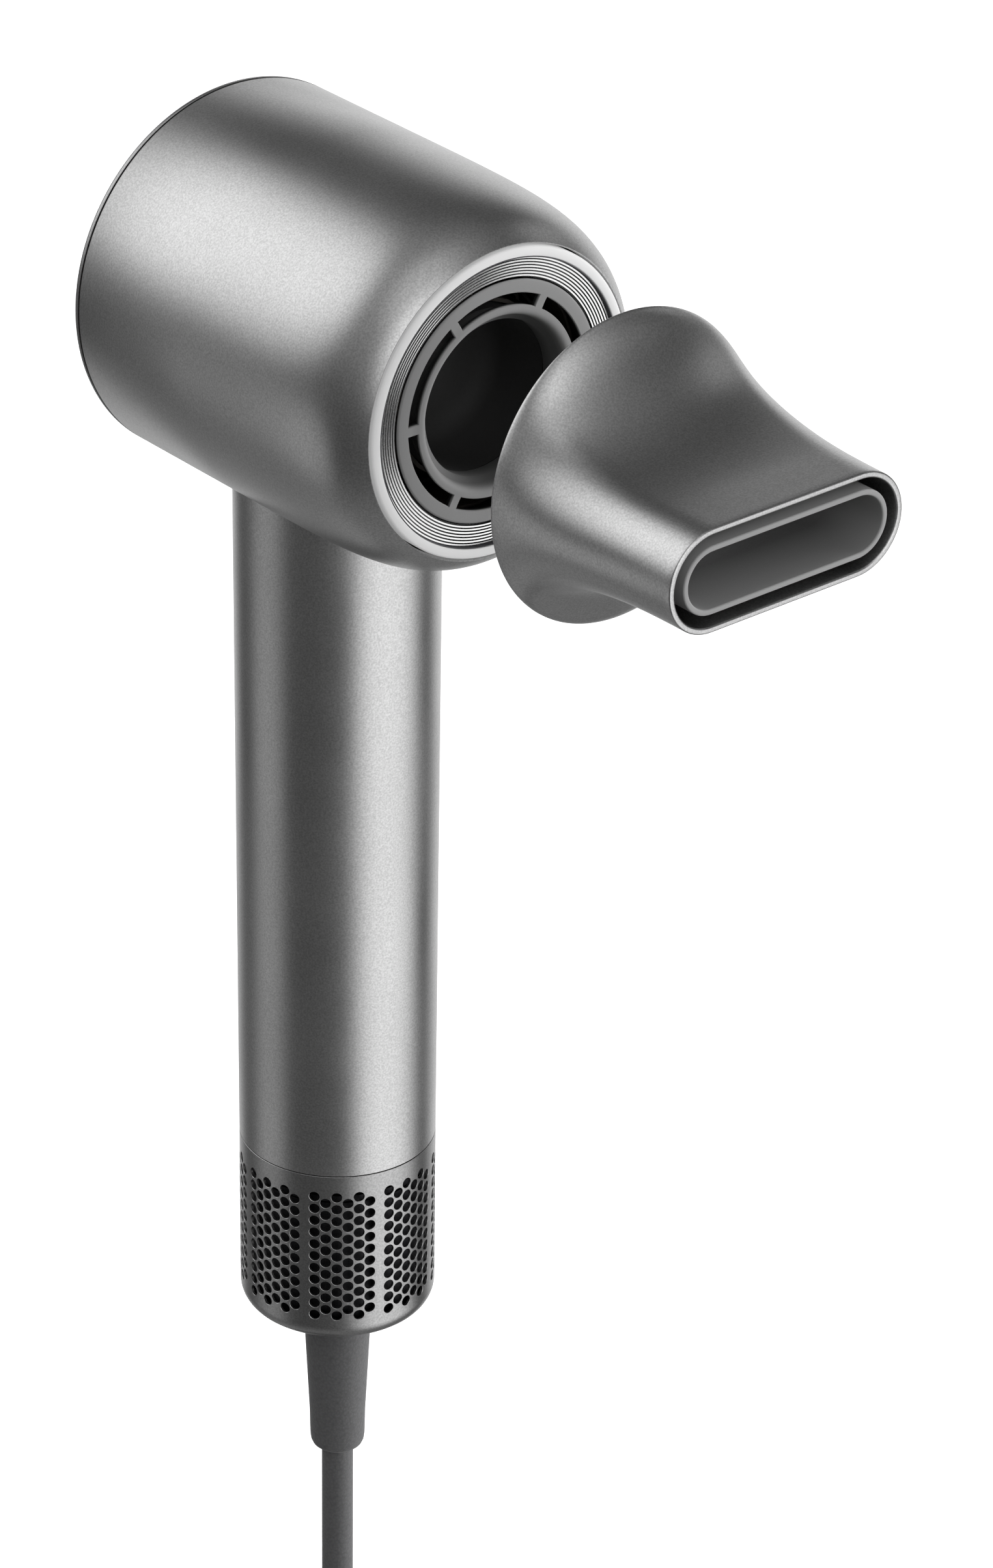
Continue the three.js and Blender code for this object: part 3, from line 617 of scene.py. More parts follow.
def plug_parts():
    lowest, highest = low("plug_body"), high("plug_body")
    centre = (lowest + highest) / 2
    half_x, half_y = (highest.x - lowest.x) / 2, (highest.y - lowest.y) / 2
    top, foot = highest.z, lowest.z
    neck = 5.2
    stations = [  # how wide, how deep and how round the plug is on its way down
        (top, 3.3, 3.3), (top, 4.4, 4.4), (top - 0.8, neck, neck), (top - 9, neck, neck),
        (top - 12, neck + 0.6, neck + 0.4), (top - 15, 8.6, 6.6), (top - 18, 11.4, 7.8),
        (top - 22, 12.3, 8.4),
        (top - 27, half_x, half_y), (top - 33, 12.2, 8.3), (foot + 1.2, 11.4, 7.9), (foot + 0.3, 11.0, 7.5),
        (foot, 10.2, 6.9),
    ]
    rings = [[Vector((centre.x, centre.y, top))]]
    for z, wide, deep in stations:
        rings.append(rounded_box_ring(wide, deep, min(deep, 6) * 0.98, centre, z, 12))
    rings.append([Vector((centre.x, centre.y, foot))])
    body = piece("plug_moulding", skin(rings, closed=False), "plug_black", ["plug_body"], sharp=40)
    pins = []
    for node in ("plug_pin_1", "plug_pin_2"):
        lowest, highest = low(node), high(node)
        centre = (lowest + highest) / 2
        half = (highest - lowest) / 2
        rings = [[Vector((centre.x, centre.y, highest.z))]]
        rings.append(rounded_box_ring(half.x, half.y, 0.3, centre, highest.z, 4))
        for inset, rise in ((0, 1.4), (0.15, 0.7), (0.35, 0.2), (0.5, 0)):
            rings.append(rounded_box_ring(half.x - inset, half.y - inset, 0.2, centre, lowest.z + rise, 4))
        rings.append([Vector((centre.x, centre.y, lowest.z))])
        pins.append(piece(f"{node}_blade", skin(rings, closed=False), "machined_steel", [node]))
    return [body, *pins]


tie = cord_tie()
plug = plug_parts()

# ---------------------------------------------------------------- barrel

BARREL_R = high("main_shell").x
BARREL_REAR = high("main_shell").y
BARREL_FRONT = low("main_shell").y
MOUTH_R = 29.75
NOSE_START = -1.5
NOSE_HANDLES = ((36.4, -32.9), (36.2, -40.1))


def nose(count):
    """The barrel's outside from where it starts to curve in to its mouth."""
    ends = (BARREL_R, NOSE_START), (MOUTH_R + 0.25, BARREL_FRONT)
    curve = [Vector(p) for p in (ends[0], *NOSE_HANDLES, ends[1])]
    for k in range(count + 1):
        t = (k / count) ** 0.8
        u = 1 - t
        yield curve[0] * u ** 3 + curve[1] * 3 * u * u * t + curve[2] * 3 * u * t * t + curve[3] * t ** 3


barrel_bore = BARREL_R - 2.2
barrel_outline = [
    (barrel_bore, BARREL_REAR - 0.3), (barrel_bore + 0.3, BARREL_REAR), (BARREL_R - 0.35, BARREL_REAR),
    (BARREL_R - 0.1, BARREL_REAR - 0.1), (BARREL_R, BARREL_REAR - 0.35), *nose(40),
    (MOUTH_R + 0.07, BARREL_FRONT + 0.07), (MOUTH_R, BARREL_FRONT + 0.25), (MOUTH_R, -43.4),
    (31.2, -41.5), (33.2, -37), (barrel_bore, -28),
]
piece("barrel_shell", turned(barrel_outline, segments=192), "shell_metal", ["main_shell"])

rear = high("rear_cover").y
flange = rear - 1
rear_outline = [
    (0, rear), (24.0, rear), (24.15, rear - 0.05), (24.2, rear - 0.2), (24.2, flange), (26.6, flange),
    (26.6, rear - 0.2), (26.65, rear - 0.05), (26.8, rear),
    (BARREL_R - 0.5, rear), (BARREL_R - 0.15, rear - 0.15),
    (BARREL_R, rear - 0.5), (BARREL_R, flange + 0.1), (BARREL_R - 0.1, flange), (barrel_bore - 0.3, flange),
    (barrel_bore - 0.3, 27), (0, 27),
]
piece("rear_cover_skin", turned(rear_outline, segments=192), "cover_metal", ["rear_cover"])
trim = turned(band(24.5, 26.3, 30.7, high("rear_trim_ring").y, 0.3))
piece("rear_trim", trim, "ring_steel", ["rear_trim_ring"])

# ---------------------------------------------------------------- outlet

RING_FRONT = low("front_light_ring").y
RING_BACK = high("front_light_ring").y
ring_outline = [
    (27.55, RING_BACK), (27.55, RING_FRONT + 0.12), (27.6, RING_FRONT + 0.04), (27.72, RING_FRONT),
    (29.0, RING_FRONT + 0.03), (29.22, RING_FRONT + 0.1), (29.38, RING_FRONT + 0.24),
    (29.45, RING_FRONT + 0.45),
    (29.45, RING_BACK),
]
piece("light_ring", turned(ring_outline, segments=192), "ring_white", ["front_light_ring"], sharp=50)
# A thin dark band just inside the light ring, with no CAD part of its own: it makes the step between the
# light ring and the grooved ring show dark.
dark_band = turned(band(27.3, 27.5, RING_FRONT + 0.1, RING_BACK, 0.05), segments=192)
piece("light_ring_gasket", dark_band, "part_dark", [])


def grooved_outline():
    """A shallow cone with fine V grooves turned into its face."""
    inner, outer = GROOVED_R
    face = low("grooved_ring").y
    pitch = GROOVE_PITCH
    outline = [(outer, -43.6)]
    for k in range(GROOVES):
        start = outer - k * pitch
        depth = face + 0.3 * (outer - start) / (outer - inner)
        outline += [
            (start - 0.02, depth + 0.06), (start - 0.08, depth), (start - pitch + 0.2, depth + 0.01),
            (start - pitch + 0.15, depth + 0.05), (start - pitch + 0.14, depth + 0.3),
            (start - pitch, depth + 0.3),
        ]
    return [*outline, (inner, -43.6)]


grooved_ring = piece(
    "grooved_ring_turned", turned(grooved_outline(), segments=192), "ring_steel", ["grooved_ring"], sharp=25,
)
# The grooves cut in the mesh also get painted shade in their colour.
grooved_ring.data.materials[0] = FINISHES["grooved_steel"]

SPOKE_HALF = 0.85
SLOT_OUTER, SLOT_INNER = 20.59, 18.13


def outlet_grille():
    """Six slots between spokes, and a soft lip that runs back into the cup."""
    face = low("outlet_grille").y
    rows = [  # radius and depth from the rim inwards
        (23.0, face + 0.25), (22.85, face + 0.08), (22.6, face), (21.6, face), (SLOT_OUTER, face),
        (19.8, face + 0.06), (18.9, face + 0.06), (SLOT_INNER, face + 0.02), (17.9, face), (17.5, face),
        (17.15, face + 0.03), (16.85, face + 0.13), (16.6, face + 0.3), (16.38, face + 0.56),
        (16.2, face + 0.95),
        (16.08, face + 1.5), (16.02, face + 2.3), (16.0, face + 3.4), (16.0, face + 5.3),
    ]
    slot_rows = range(4, 7)
    spoke_steps, slot_steps, spokes = 4, 20, 6
    columns = spokes * (spoke_steps + slot_steps)

    def turn_of(column, radius):
        spoke, k = divmod(column, spoke_steps + slot_steps)
        half = math.asin(SPOKE_HALF / radius)
        if k <= spoke_steps:
            within = -half + 2 * half * k / spoke_steps
        else:
            within = half + (TURN / spokes - 2 * half) * (k - spoke_steps) / slot_steps
        return spoke * TURN / spokes + within

    points, normals = [], []
    for i, (radius, depth) in enumerate(rows):
        before, after = Vector(rows[max(i - 1, 0)]), Vector(rows[min(i + 1, len(rows) - 1)])
        along = (after - before).normalized()
        facing = Vector((-along.y, along.x)) * -1
        if facing.y > 0.05:
            facing = -facing
        for column in range(columns):
            turn = turn_of(column, radius)
            way = Vector((math.cos(turn), 0, math.sin(turn)))
            points.append(way * radius + Vector((0, depth, BARREL_Z)))
            normals.append((way * facing.x + Vector((0, facing.y, 0))).normalized())
    faces = []
    for i in range(len(rows) - 1):
        for column in range(columns):
            if i in slot_rows and column % (spoke_steps + slot_steps) >= spoke_steps:
                continue
            after = (column + 1) % columns
            here, further = i * columns, (i + 1) * columns
            faces.append([here + column, here + after, further + after, further + column])
    a, b, c = (points[faces[0][k]] for k in (0, 1, 2))
    if (b - a).cross(c - b).dot(normals[faces[0][0]]) < 0:
        faces = [face[::-1] for face in faces]
    parts, exact = thickened(points, faces, normals, 1.1, 0.14)
    piece("grille_moulding", parts, "grille_grey", ["outlet_grille"], normals=exact)


outlet_grille()
cup_back = high("center_cup").y
cup_r = high("center_cup").x
cup_outline = [
    (0, cup_back), (cup_r - 4, cup_back), (cup_r - 1.4, cup_back - 1.2), (cup_r, cup_back - 4), (cup_r, -40),
    (cup_r - 0.9, -40), (cup_r - 0.95, cup_back - 5), (cup_r - 1.7, cup_back - 3),
    (cup_r - 3, cup_back - 1.7),
    (cup_r - 5, cup_back - 1), (cup_r - 9, cup_back - 0.9), (0, cup_back - 0.9),
]
piece("center_cup_moulding", turned(cup_outline), "cup_black", ["center_cup"], sharp=45)

# ---------------------------------------------------------------- handle

HANDLE_FOOT = low("main_shell").z
HANDLE_R = 19.15
HANDLE_TOP_R = 19.5
HANDLE_WALL = 1.95
CONE_TOP = 70
COLUMNS = 96
ROW = 2.5
PATCH_COLUMNS = range(19, 29)  # round the controls, on the +Y side
PATCH_ROWS = range(25, 48)
PLAIN_ROWS = 53
TOP_ROWS = 6
INTO_BARREL = 1.1  # the handle's upper edge is this far inside the barrel's skin


def handle_place(turn, along):
    """Along runs up the handle. Past the plain rows it follows the barrel's underside."""
    plain = PLAIN_ROWS * ROW
    z = HANDLE_FOOT + min(along, plain)
    share = along / (CONE_TOP - HANDLE_FOOT)
    radius = HANDLE_R + (HANDLE_TOP_R - HANDLE_R) * share
    if along > plain:
        x = radius * math.cos(turn)
        top = BARREL_Z - math.sqrt((BARREL_R - INTO_BARREL) ** 2 - x * x)
        z += (top - z) * (along - plain) / (TOP_ROWS * ROW)
    return Vector((radius * math.cos(turn), radius * math.sin(turn), z))


BUTTON_Z = [(low(node).z + high(node).z) / 2 for node in ("speed_button", "temperature_button")]
BUTTON_HOLE_R = 4.3
SLOT_HALF_X = 4.0
SWITCH_SLOT = (22.7, 36.3)
RIM_EDGE = 0.07


def handle():
    rows = PLAIN_ROWS + TOP_ROWS + 1
    mean = (HANDLE_R + HANDLE_TOP_R) / 2
    flat = [(column * TURN / COLUMNS, row * ROW) for row in range(rows) for column in range(COLUMNS)]
    faces = []
    for row in range(rows - 1):
        for column in range(COLUMNS):
            if column in PATCH_COLUMNS and row in PATCH_ROWS:
                continue
            after = (column + 1) % COLUMNS
            a, b = row * COLUMNS + column, row * COLUMNS + after
            faces.append([a, b, b + COLUMNS, a + COLUMNS])
    first, last = PATCH_COLUMNS[0], PATCH_COLUMNS[-1] + 1
    bottom, top = PATCH_ROWS[0], PATCH_ROWS[-1] + 1
    around = [(c, bottom) for c in range(first, last)] + [(last, r) for r in range(bottom, top)]
    around += [(c, top) for c in range(last, first, -1)] + [(first, r) for r in range(top, bottom, -1)]

    def unrolled(column, row):
        return (column * TURN / COLUMNS * mean, row * ROW)

    middle = TURN / 4 * mean
    holes = [ring_about((middle, z - HANDLE_FOOT), BUTTON_HOLE_R + RIM_EDGE, 48) for z in BUTTON_Z]
    slot_low, slot_high = SWITCH_SLOT
    slot_mid = (slot_low + slot_high) / 2 - HANDLE_FOOT
    stretch = (slot_high - slot_low) / 2 - SLOT_HALF_X
    holes.append(ring_about((middle, slot_mid), SLOT_HALF_X + RIM_EDGE, 48, stretch))
    reach = [(z - HANDLE_FOOT, 0) for z in BUTTON_Z] + [(slot_mid, stretch)]
    inside = []
    for column in range(first + 1, last):
        for row in range(bottom + 1, top):
            across, along = unrolled(column, row)
            clear = [
                math.hypot(across - middle, max(abs(along - centre) - half, 0)) for centre, half in reach
            ]
            if min(clear) > BUTTON_HOLE_R + RIM_EDGE + 0.5:
                inside.append((across, along))
    points, triangles = pierced([unrolled(*spot) for spot in around], inside, holes)
    numbers = [row * COLUMNS + column for column, row in around]
    for across, along in points[len(around):]:
        numbers.append(len(flat))
        flat.append((across / mean, along))
    faces += [[numbers[v] for v in triangle] for triangle in facing_out(points, triangles)]
    parts, exact = wrapped(flat, faces, handle_place, HANDLE_WALL, RIM_EDGE)
    piece("handle_shell", parts, "shell_metal", ["main_shell"], normals=exact)


handle()

# ---------------------------------------------------------------- controls


def button(node, body):
    """A round button with a dished cap, on the +Y side."""
    z = (low(node).z + high(node).z) / 2
    back_y, cap = low(node).y, high(node).y
    outline = [
        (0, back_y), (4.8, back_y), (4.8, back_y + 0.9), (4.0, back_y + 0.9), (4.0, cap - 0.5),
        (3.93, cap - 0.24), (3.78, cap - 0.08), (3.55, cap), (3.2, cap - 0.06), (2.4, cap - 0.2),
        (1.2, cap - 0.3), (0, cap - 0.33),
    ]
    piece(f"{node}_cap", turned(outline, segments=64, height=z), "button_metal", [node], body)


button("speed_button", "speed_button")
button("temperature_button", "temperature_button")


def power_switch():
    """A sliding knob: a flange under the handle's skin and a rounded thumb piece. Its rings can take three
    grip grooves, but none is given any depth.
    """
    node = "power_switch"
    lowest, highest = low(node), high(node)
    centre_z = (lowest.z + highest.z) / 2
    crown = highest.y
    half_x, half_z = 3.7, 4.0

    def ring(depth, wide, tall, corner, grip=0.0):
        made = []
        for spot in rounded_box_ring(wide, tall, corner, (0, 0), 0, 12):
            groove = sum(math.exp(-(((spot.y - step) / 0.32) ** 2)) for step in (-2.2, 0, 2.2))
            made.append(Vector((spot.x, depth - grip * groove, centre_z + spot.y)))
        return made

    stations = [
        (lowest.y, 4.8, 6.3, 1.0), (lowest.y + 0.15, 5, 6.5, 1.2), (lowest.y + 0.95, 5, 6.5, 1.2),
        (lowest.y + 1.1, 4.8, 6.3, 1.0), (lowest.y + 1.1, half_x, half_z, 1.5),
        (crown - 0.9, half_x, half_z, 1.5),
        (crown - 0.5, half_x - 0.08, half_z - 0.08, 1.5), (crown - 0.2, half_x - 0.3, half_z - 0.3, 1.4),
        (crown - 0.05, half_x - 0.6, half_z - 0.6, 1.3), (crown, half_x - 0.95, half_z - 0.95, 1.2),
    ]
    rings = [[Vector((0, lowest.y, centre_z))]] + [ring(*station) for station in stations]
    for share in (0.75, 0.5, 0.25):
        wide, tall = (half_x - 0.95) * share, (half_z - 0.95) * share
        rings.append(ring(crown, wide, tall, 1.2 * share))
    rings.append([Vector((0, crown, centre_z))])
    piece("power_switch_knob", skin(rings, closed=False), "button_metal", [node], node, sharp=40)


power_switch()

# ---------------------------------------------------------------- pierced inlet cover

COVER_TOP = high("inlet_cover").z
COVER_FOOT = low("inlet_cover").z
COVER_ROUND = 4
COVER_WALL = 0.55
CORD_HOLE_R = 7.6
PANELS = 8
FIRST_PANEL = math.radians(234.2)
PANEL_COLUMNS = (11, 10, 11, 10, 11, 10)  # holes in each
COLUMN_TURN = math.radians(6.55)
HOLE_R = 1.075
HOLE_EDGE = 0.05
HOLE_PITCH = 2.715
TOP_HOLE = -82.2
cover_straight = COVER_TOP - COVER_FOOT - COVER_ROUND
cover_arc = COVER_ROUND * math.pi / 2


def cover_place(turn, along):
    """Along runs down the cover, round its lower edge and in to the cord hole. It is counted negative."""
    down = -along
    if down <= cover_straight:
        radius, z = HANDLE_R, COVER_TOP - down
    elif down <= cover_straight + cover_arc:
        angle = (down - cover_straight) / COVER_ROUND
        radius = HANDLE_R - COVER_ROUND * (1 - math.cos(angle))
        z = COVER_FOOT + COVER_ROUND * (1 - math.sin(angle))
    else:
        radius = HANDLE_R - COVER_ROUND - (down - cover_straight - cover_arc)
        z = COVER_FOOT
    return Vector((radius * math.cos(turn), radius * math.sin(turn), z))


def inlet_cover():
    steps_across, steps_down = 12, 14
    half = TURN / PANELS / 2 * HANDLE_R
    left, right = -half, half
    xs = [left + (right - left) * k / steps_across for k in range(steps_across + 1)]
    zs = [-cover_straight * k / steps_down for k in range(steps_down + 1)]
    border = [(x, 0.0) for x in xs[::-1]] + [(left, z) for z in zs[1:]]
    border += [(x, zs[-1]) for x in xs[1:]] + [(right, z) for z in zs[-2:0:-1]]
    holes = []
    for column, count in enumerate(PANEL_COLUMNS):
        across = (column - (len(PANEL_COLUMNS) - 1) / 2) * COLUMN_TURN * HANDLE_R
        first = TOP_HOLE - COVER_TOP - (0 if count == max(PANEL_COLUMNS) else HOLE_PITCH / 2)
        spots = [(across, first - row * HOLE_PITCH) for row in range(count)]
        holes += [ring_about(spot, HOLE_R + HOLE_EDGE, 18) for spot in spots]
    inside = [(x, z) for x in xs[1:-1] for z in (-1.1, -2.2, -cover_straight + 0.7)]
    points, triangles = pierced(border, inside, holes)
    ordered = facing_out(points, triangles)
    flat, faces, known = [], [], {}

    def number(turn, along):
        key = round(turn % TURN, 5) % round(TURN, 5), round(along, 5)
        if key not in known:
            known[key] = len(flat)
            flat.append((turn, along))
        return known[key]

    for panel in range(PANELS):
        centre = FIRST_PANEL + panel * TURN / PANELS
        numbers = [number(centre + x / HANDLE_R, z) for x, z in points]
        faces += [[numbers[v] for v in triangle] for triangle in ordered]
    flat_part = HANDLE_R - COVER_ROUND - CORD_HOLE_R
    downs = [cover_straight + cover_arc * k / 8 for k in range(9)]
    downs += [cover_straight + cover_arc + flat_part * k / 4 for k in range(1, 5)]
    for upper, lower in zip(downs, downs[1:]):
        for panel in range(PANELS):
            centre = FIRST_PANEL + panel * TURN / PANELS
            for x, after in zip(xs, xs[1:]):
                turn, next_turn = centre + x / HANDLE_R, centre + after / HANDLE_R
                faces.append([
                    number(turn, -upper), number(turn, -lower),
                    number(next_turn, -lower), number(next_turn, -upper),
                ])
    parts, exact = wrapped(flat, faces, cover_place, COVER_WALL, HOLE_EDGE)
    piece("inlet_cover_pierced", parts, "cover_metal", ["inlet_cover"], "inlet_cover", normals=exact)


inlet_cover()

# ---------------------------------------------------------------- strain relief

relief_foot, relief_top = low("strain_relief").z, high("strain_relief").z
relief_outline = [
    (0, relief_foot), (CORD_R + 0.5, relief_foot), (4.5, relief_foot + 0.25), (5.0, relief_foot + 0.7),
    (5.3, relief_foot + 1.4), (5.43, relief_foot + 2.4), (5.48, relief_foot + 4), (5.55, relief_foot + 8),
    (7, COVER_FOOT + 1.7), (9, COVER_FOOT + 1.7), (9, COVER_FOOT + 2.7), (CORD_R, COVER_FOOT + 2.7),
    (CORD_R, relief_top), (0, relief_top),
]
piece("strain_relief_moulding", turned(relief_outline, "Z", 96), "rubber_grey", ["strain_relief"], sharp=40)

# ---------------------------------------------------------------- concentrator nozzle

NOZZLE_REAR = high("nozzle_shell").y
NOZZLE_FRONT = low("nozzle_shell").y
NOZZLE_SHELL = (high("nozzle_shell").x, 26.5, 9.87)  # radius, half width and half height
NOZZLE_DUCT = (21.5, 23.2, 6.5)
NOZZLE_RIM = 0.35
HEIGHT_SPAN = 0.774  # the height has settled this far along
CORNER_WARP = 0.56


def eased(u, handle_in, handle_out):
    """How far an ease-in, ease-out curve has risen at u, with its two handles as long as given."""
    start, end = 0.0, 1.0
    for _ in range(30):
        k = (start + end) / 2
        along = 3 * (1 - k) ** 2 * k * handle_in + 3 * (1 - k) * k * k * (1 - handle_out) + k ** 3
        start, end = (k, end) if along < u else (start, k)
    return 3 * (1 - start) * start * start + start ** 3


def slot_point(angle, half_width, half_height):
    """Where a ray from the middle leaves a slot shape with round ends."""
    c, s = math.cos(angle), math.sin(angle)
    straight = half_width - half_height
    if abs(s) > 1e-9 and abs(half_height * c / s) <= straight:
        return half_height * c / abs(s), math.copysign(half_height, s)
    along = straight * abs(c)
    reach = along + math.sqrt(along * along - straight * straight + half_height * half_height)
    return reach * c, reach * s


def nozzle_ring(size, y, inset, count=160):
    radius, half_width, half_height = size
    t = (y - NOZZLE_REAR) / (NOZZLE_FRONT - NOZZLE_REAR)
    t = min(max(t, 0), 1)
    flattened = eased(min(t / HEIGHT_SPAN, 1), 0.111, 0.868)
    narrowed = eased(t, 0.38, 0.4)
    ring = []
    for k in range(count):
        angle = k * TURN / count
        warped = math.atan2(math.sin(angle) * CORNER_WARP, math.cos(angle))
        slot_x, slot_z = slot_point(warped, half_width - inset, half_height - inset)
        x = (radius - inset) * math.cos(angle) * (1 - narrowed) + slot_x * narrowed
        z = (radius - inset) * math.sin(angle) * (1 - flattened) + slot_z * flattened
        ring.append(Vector((x, y, BARREL_Z + z)))
    return ring


def nozzle_skin(size, wall, rear_y, front_y, rim, stations=44):
    """Out along the outside, round the front rim, back along the inside and round the rear rim."""
    def corner(y, way, outer):
        """An arc over the rim. Way is +1 at the rear, where y is highest."""
        angles = [k * math.pi / 10 for k in range(6)]
        arc = [(y - way * rim * (1 - math.cos(a)), rim * (1 - math.sin(a))) for a in angles]
        return arc if outer else [(spot, wall - inset) for spot, inset in arc]

    plain = []
    for k in range(1, stations):
        share = (k / stations) ** 1.25
        plain.append(rear_y - rim + (front_y + rim - rear_y + rim) * share)
    course = corner(rear_y, 1, True) + [(y, 0) for y in plain] + corner(front_y, -1, True)[::-1]
    course += corner(front_y, -1, False) + [(y, wall) for y in plain[::-1]] + corner(rear_y, 1, False)[::-1]
    return skin([nozzle_ring(size, y, inset) for y, inset in course], closed=True)


piece(
    "nozzle_shell_skin", nozzle_skin(NOZZLE_SHELL, 1.2, NOZZLE_REAR, NOZZLE_FRONT, NOZZLE_RIM),
    "shell_metal", ["nozzle_shell"], "nozzle", sharp=50,
)
# The duct and the web wear the outlet finish, with painted shade that darkens towards the back.
piece(
    "nozzle_duct_skin", nozzle_skin(NOZZLE_DUCT, 1.1, high("nozzle_duct").y, low("nozzle_duct").y, 0.3),
    "grille_grey", ["nozzle_duct"], "nozzle", sharp=50,
)
WEB_REAR, WEB_FRONT = -81.6, -82.6  # the flange between the shell and the duct
WEB_GAP, WEB_SUNK = 1.5, 0.2  # in from the shell's outside, and into the duct's wall
web = [
    nozzle_ring(NOZZLE_SHELL, WEB_REAR, WEB_GAP), nozzle_ring(NOZZLE_SHELL, WEB_FRONT, WEB_GAP),
    nozzle_ring(NOZZLE_DUCT, WEB_FRONT, WEB_SUNK), nozzle_ring(NOZZLE_DUCT, WEB_REAR, WEB_SUNK),
]
piece("nozzle_web_skin", skin(web, closed=True), "grille_grey", ["nozzle_duct"], "nozzle")
dock_rear, dock_front = high("nozzle_dock_ring").y, low("nozzle_dock_ring").y
piece(
    "nozzle_dock_ring_moulding", turned(band(21.9, 26, dock_front, dock_rear)),
    "part_dark", ["nozzle_dock_ring"], "nozzle_carrier",
)
steel_rear, steel_front = high("nozzle_steel_ring").y, low("nozzle_steel_ring").y
piece(
    "nozzle_steel_ring_turned", turned(band(21.9, 24.4, steel_front, steel_rear)),
    "machined_steel", ["nozzle_steel_ring"], "nozzle_carrier",
)

# ---------------------------------------------------------------- studio: floor and light

FLOOR_DROP = 1.0
FLOOR_REACH = 6.0  # metres
floor_mesh = bpy.data.meshes.new("floor")
floor_z = (low("plug_pin_1").z - FLOOR_DROP) * MM
ways = ((-1, -1), (1, -1), (1, 1), (-1, 1))
floor_corners = [(x * FLOOR_REACH, y * FLOOR_REACH, floor_z) for x, y in ways]
floor_mesh.from_pydata(floor_corners, [], [(0, 1, 2, 3)])
floor = bpy.data.objects.new("floor", floor_mesh)
bpy.context.scene.collection.objects.link(floor)
paper = Finish("paper", Roughness=0.9, Emission_Strength=0.55)
paper.shader.inputs["Emission Color"].default_value = (1, 1, 1, 1)
paper.colour((0.9, 0.9, 0.9), (0.93, 0.93, 0.93), paper.span(paper.noise(4), 0, 1))
floor_mesh.materials.append(paper.material)
floor.visible_glossy = False  # the studio's light panels show in the metal, not the paper
floor.visible_diffuse = False
floor.visible_shadow = False
floor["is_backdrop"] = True


def direction(azimuth, elevation):
    """A unit vector. Azimuth 0 is the side that the outlet faces, 90 is +X."""
    a, e = math.radians(azimuth), math.radians(elevation)
    return Vector((math.sin(a) * math.cos(e), -math.cos(a) * math.cos(e), math.sin(e)))


# Large soft lamps that only the matt surfaces answer to: azimuth, elevation, and power in watts.
LAMPS = ((66, -5, 30), (0, 25, 7), (-120, 30, 3), (170, 25, 9))
LAMP_SIZE = 1.4
LAMP_DISTANCE = 1.5
for azimuth, elevation, power in LAMPS:
    toward_lamp = direction(azimuth, elevation)
    lamp_data = bpy.data.lights.new("lamp", "AREA")
    lamp_data.shape = "DISK"
    lamp_data.size = LAMP_SIZE
    lamp_data.energy = power
    lamp = bpy.data.objects.new("lamp", lamp_data)
    lamp.matrix_world = Matrix.LocRotScale(
        toward_lamp * LAMP_DISTANCE, toward_lamp.to_track_quat("Z", "Y"), None,
    )
    lamp.visible_glossy = False
    lamp.visible_camera = False
    bpy.context.scene.collection.objects.link(lamp)

# Soft panels round the dryer: azimuth, elevation, half width where full and where faded out, all in degrees,
# and radiance.
PANELS_OF_LIGHT = [
    (21, -24, 0, 46, 1.40),
    (126, -12, 0, 47, 0.95),
    (166, -30, 2, 17, 0.50),
    (83, 27, 0, 18, 0.40),
    (-149, 31, 0, 39, 1.55),
    (-14, 16, 0, 41, 1.50),
    (-145, 2, 0, 20, 0.18),
    (-124, -28, 0, 26, 0.40),
    (0, -90, 0, 50, 0.15),
    (-170, -55, 0, 30, 0.12),
    (-30, 60, 0, 34, 0.45),
    (-55, 60, 18, 70, 0.22),
]
AMBIENT = 0.085
DIFFUSE_SHARE = 0.45  # of the panels' light that matt surfaces get; the lamps do the rest

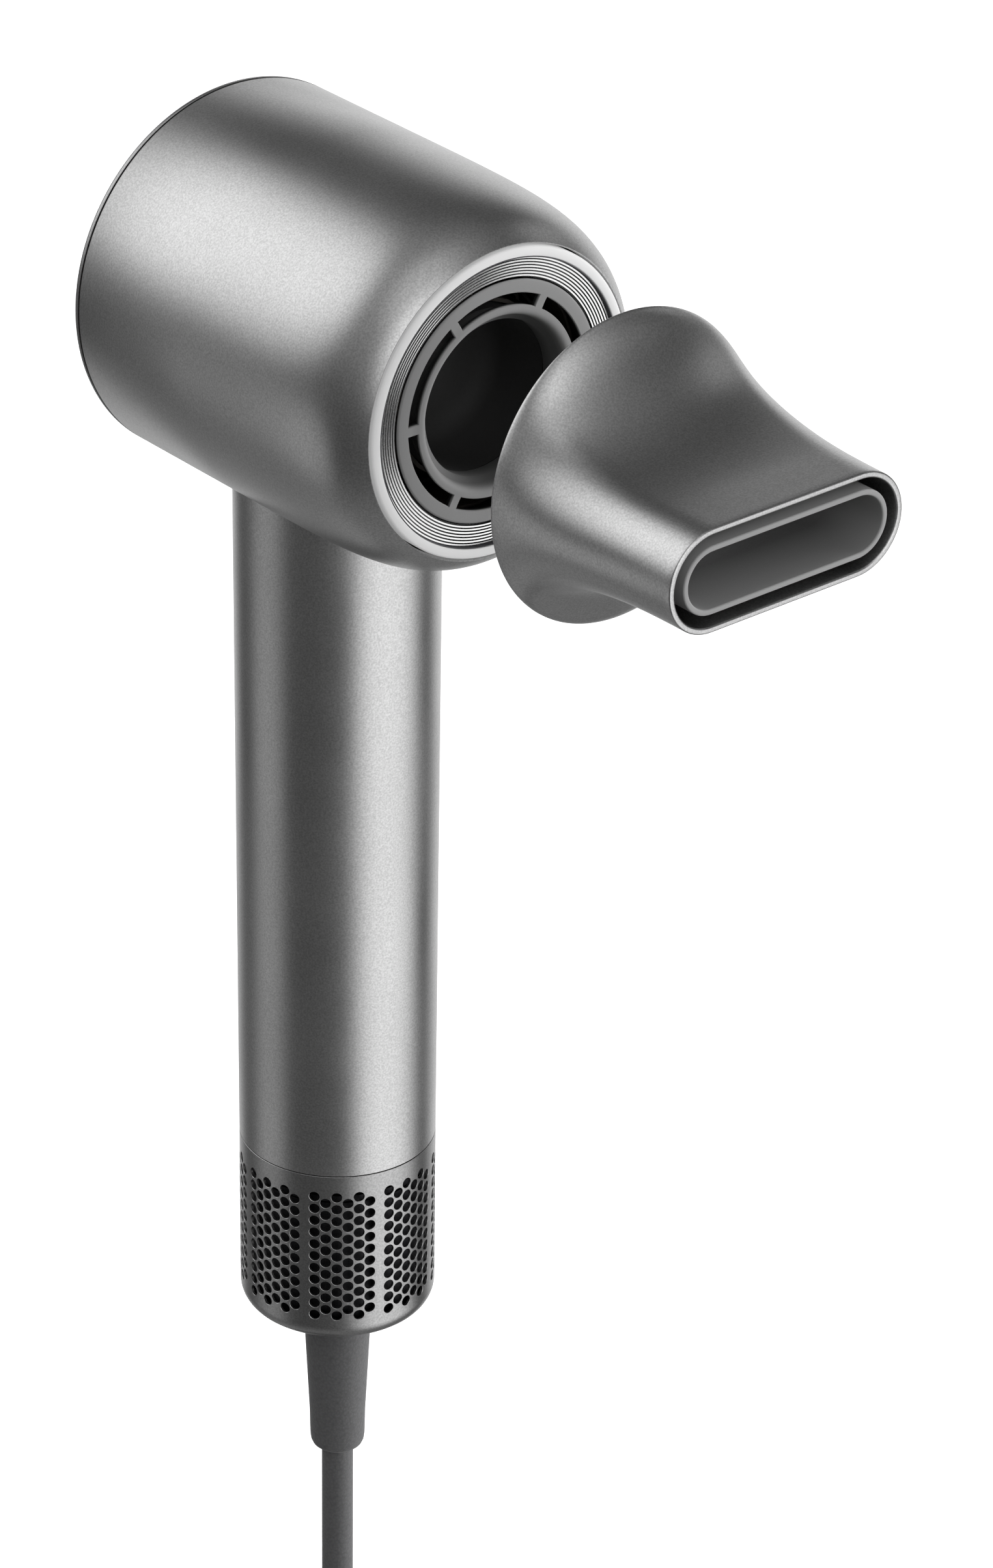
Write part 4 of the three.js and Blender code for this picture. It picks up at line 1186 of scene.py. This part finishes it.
world = bpy.data.worlds.new("studio")
bpy.context.scene.world = world
world.use_nodes = True
sky = world.node_tree
sky.nodes.clear()
toward = sky.nodes.new("ShaderNodeTexCoord").outputs["Generated"]
total = None
for azimuth, elevation, full, faded, radiance in PANELS_OF_LIGHT:
    dot = sky.nodes.new("ShaderNodeVectorMath")
    dot.operation = "DOT_PRODUCT"
    dot.inputs[1].default_value = direction(azimuth, elevation)
    sky.links.new(toward, dot.inputs[0])
    fade = sky.nodes.new("ShaderNodeMapRange")
    fade.interpolation_type = "SMOOTHSTEP"
    fade.inputs[1].default_value = math.cos(math.radians(faded))
    fade.inputs[2].default_value = math.cos(math.radians(full))
    fade.inputs[4].default_value = radiance
    sky.links.new(dot.outputs["Value"], fade.inputs[0])
    add = sky.nodes.new("ShaderNodeMath")
    add.inputs[1].default_value = AMBIENT
    if total:
        sky.links.new(total, add.inputs[1])
    sky.links.new(fade.outputs[0], add.inputs[0])
    total = add.outputs[0]
path = sky.nodes.new("ShaderNodeLightPath")
less = sky.nodes.new("ShaderNodeMapRange")
less.inputs[3].default_value = 1
less.inputs[4].default_value = DIFFUSE_SHARE
sky.links.new(path.outputs["Is Diffuse Ray"], less.inputs[0])
shared = sky.nodes.new("ShaderNodeMath")
shared.operation = "MULTIPLY"
sky.links.new(total, shared.inputs[0])
sky.links.new(less.outputs[0], shared.inputs[1])
light = sky.nodes.new("ShaderNodeBackground")
sky.links.new(shared.outputs[0], light.inputs["Strength"])
white = sky.nodes.new("ShaderNodeBackground")
seen = path.outputs["Is Camera Ray"]
pick = sky.nodes.new("ShaderNodeMixShader")
sky.links.new(seen, pick.inputs[0])
sky.links.new(light.outputs[0], pick.inputs[1])
sky.links.new(white.outputs[0], pick.inputs[2])
sky.links.new(pick.outputs[0], sky.nodes.new("ShaderNodeOutputWorld").inputs[0])
light.inputs["Color"].default_value = (1, 1, 1, 1)
white.inputs["Color"].default_value = (1, 1, 1, 1)

bpy.context.scene.view_settings.view_transform = "Standard"

sizes = {"cad": cad_box, "visual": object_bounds()}
{name: [list(corner) for corner in box] for name, box in sizes.items()}
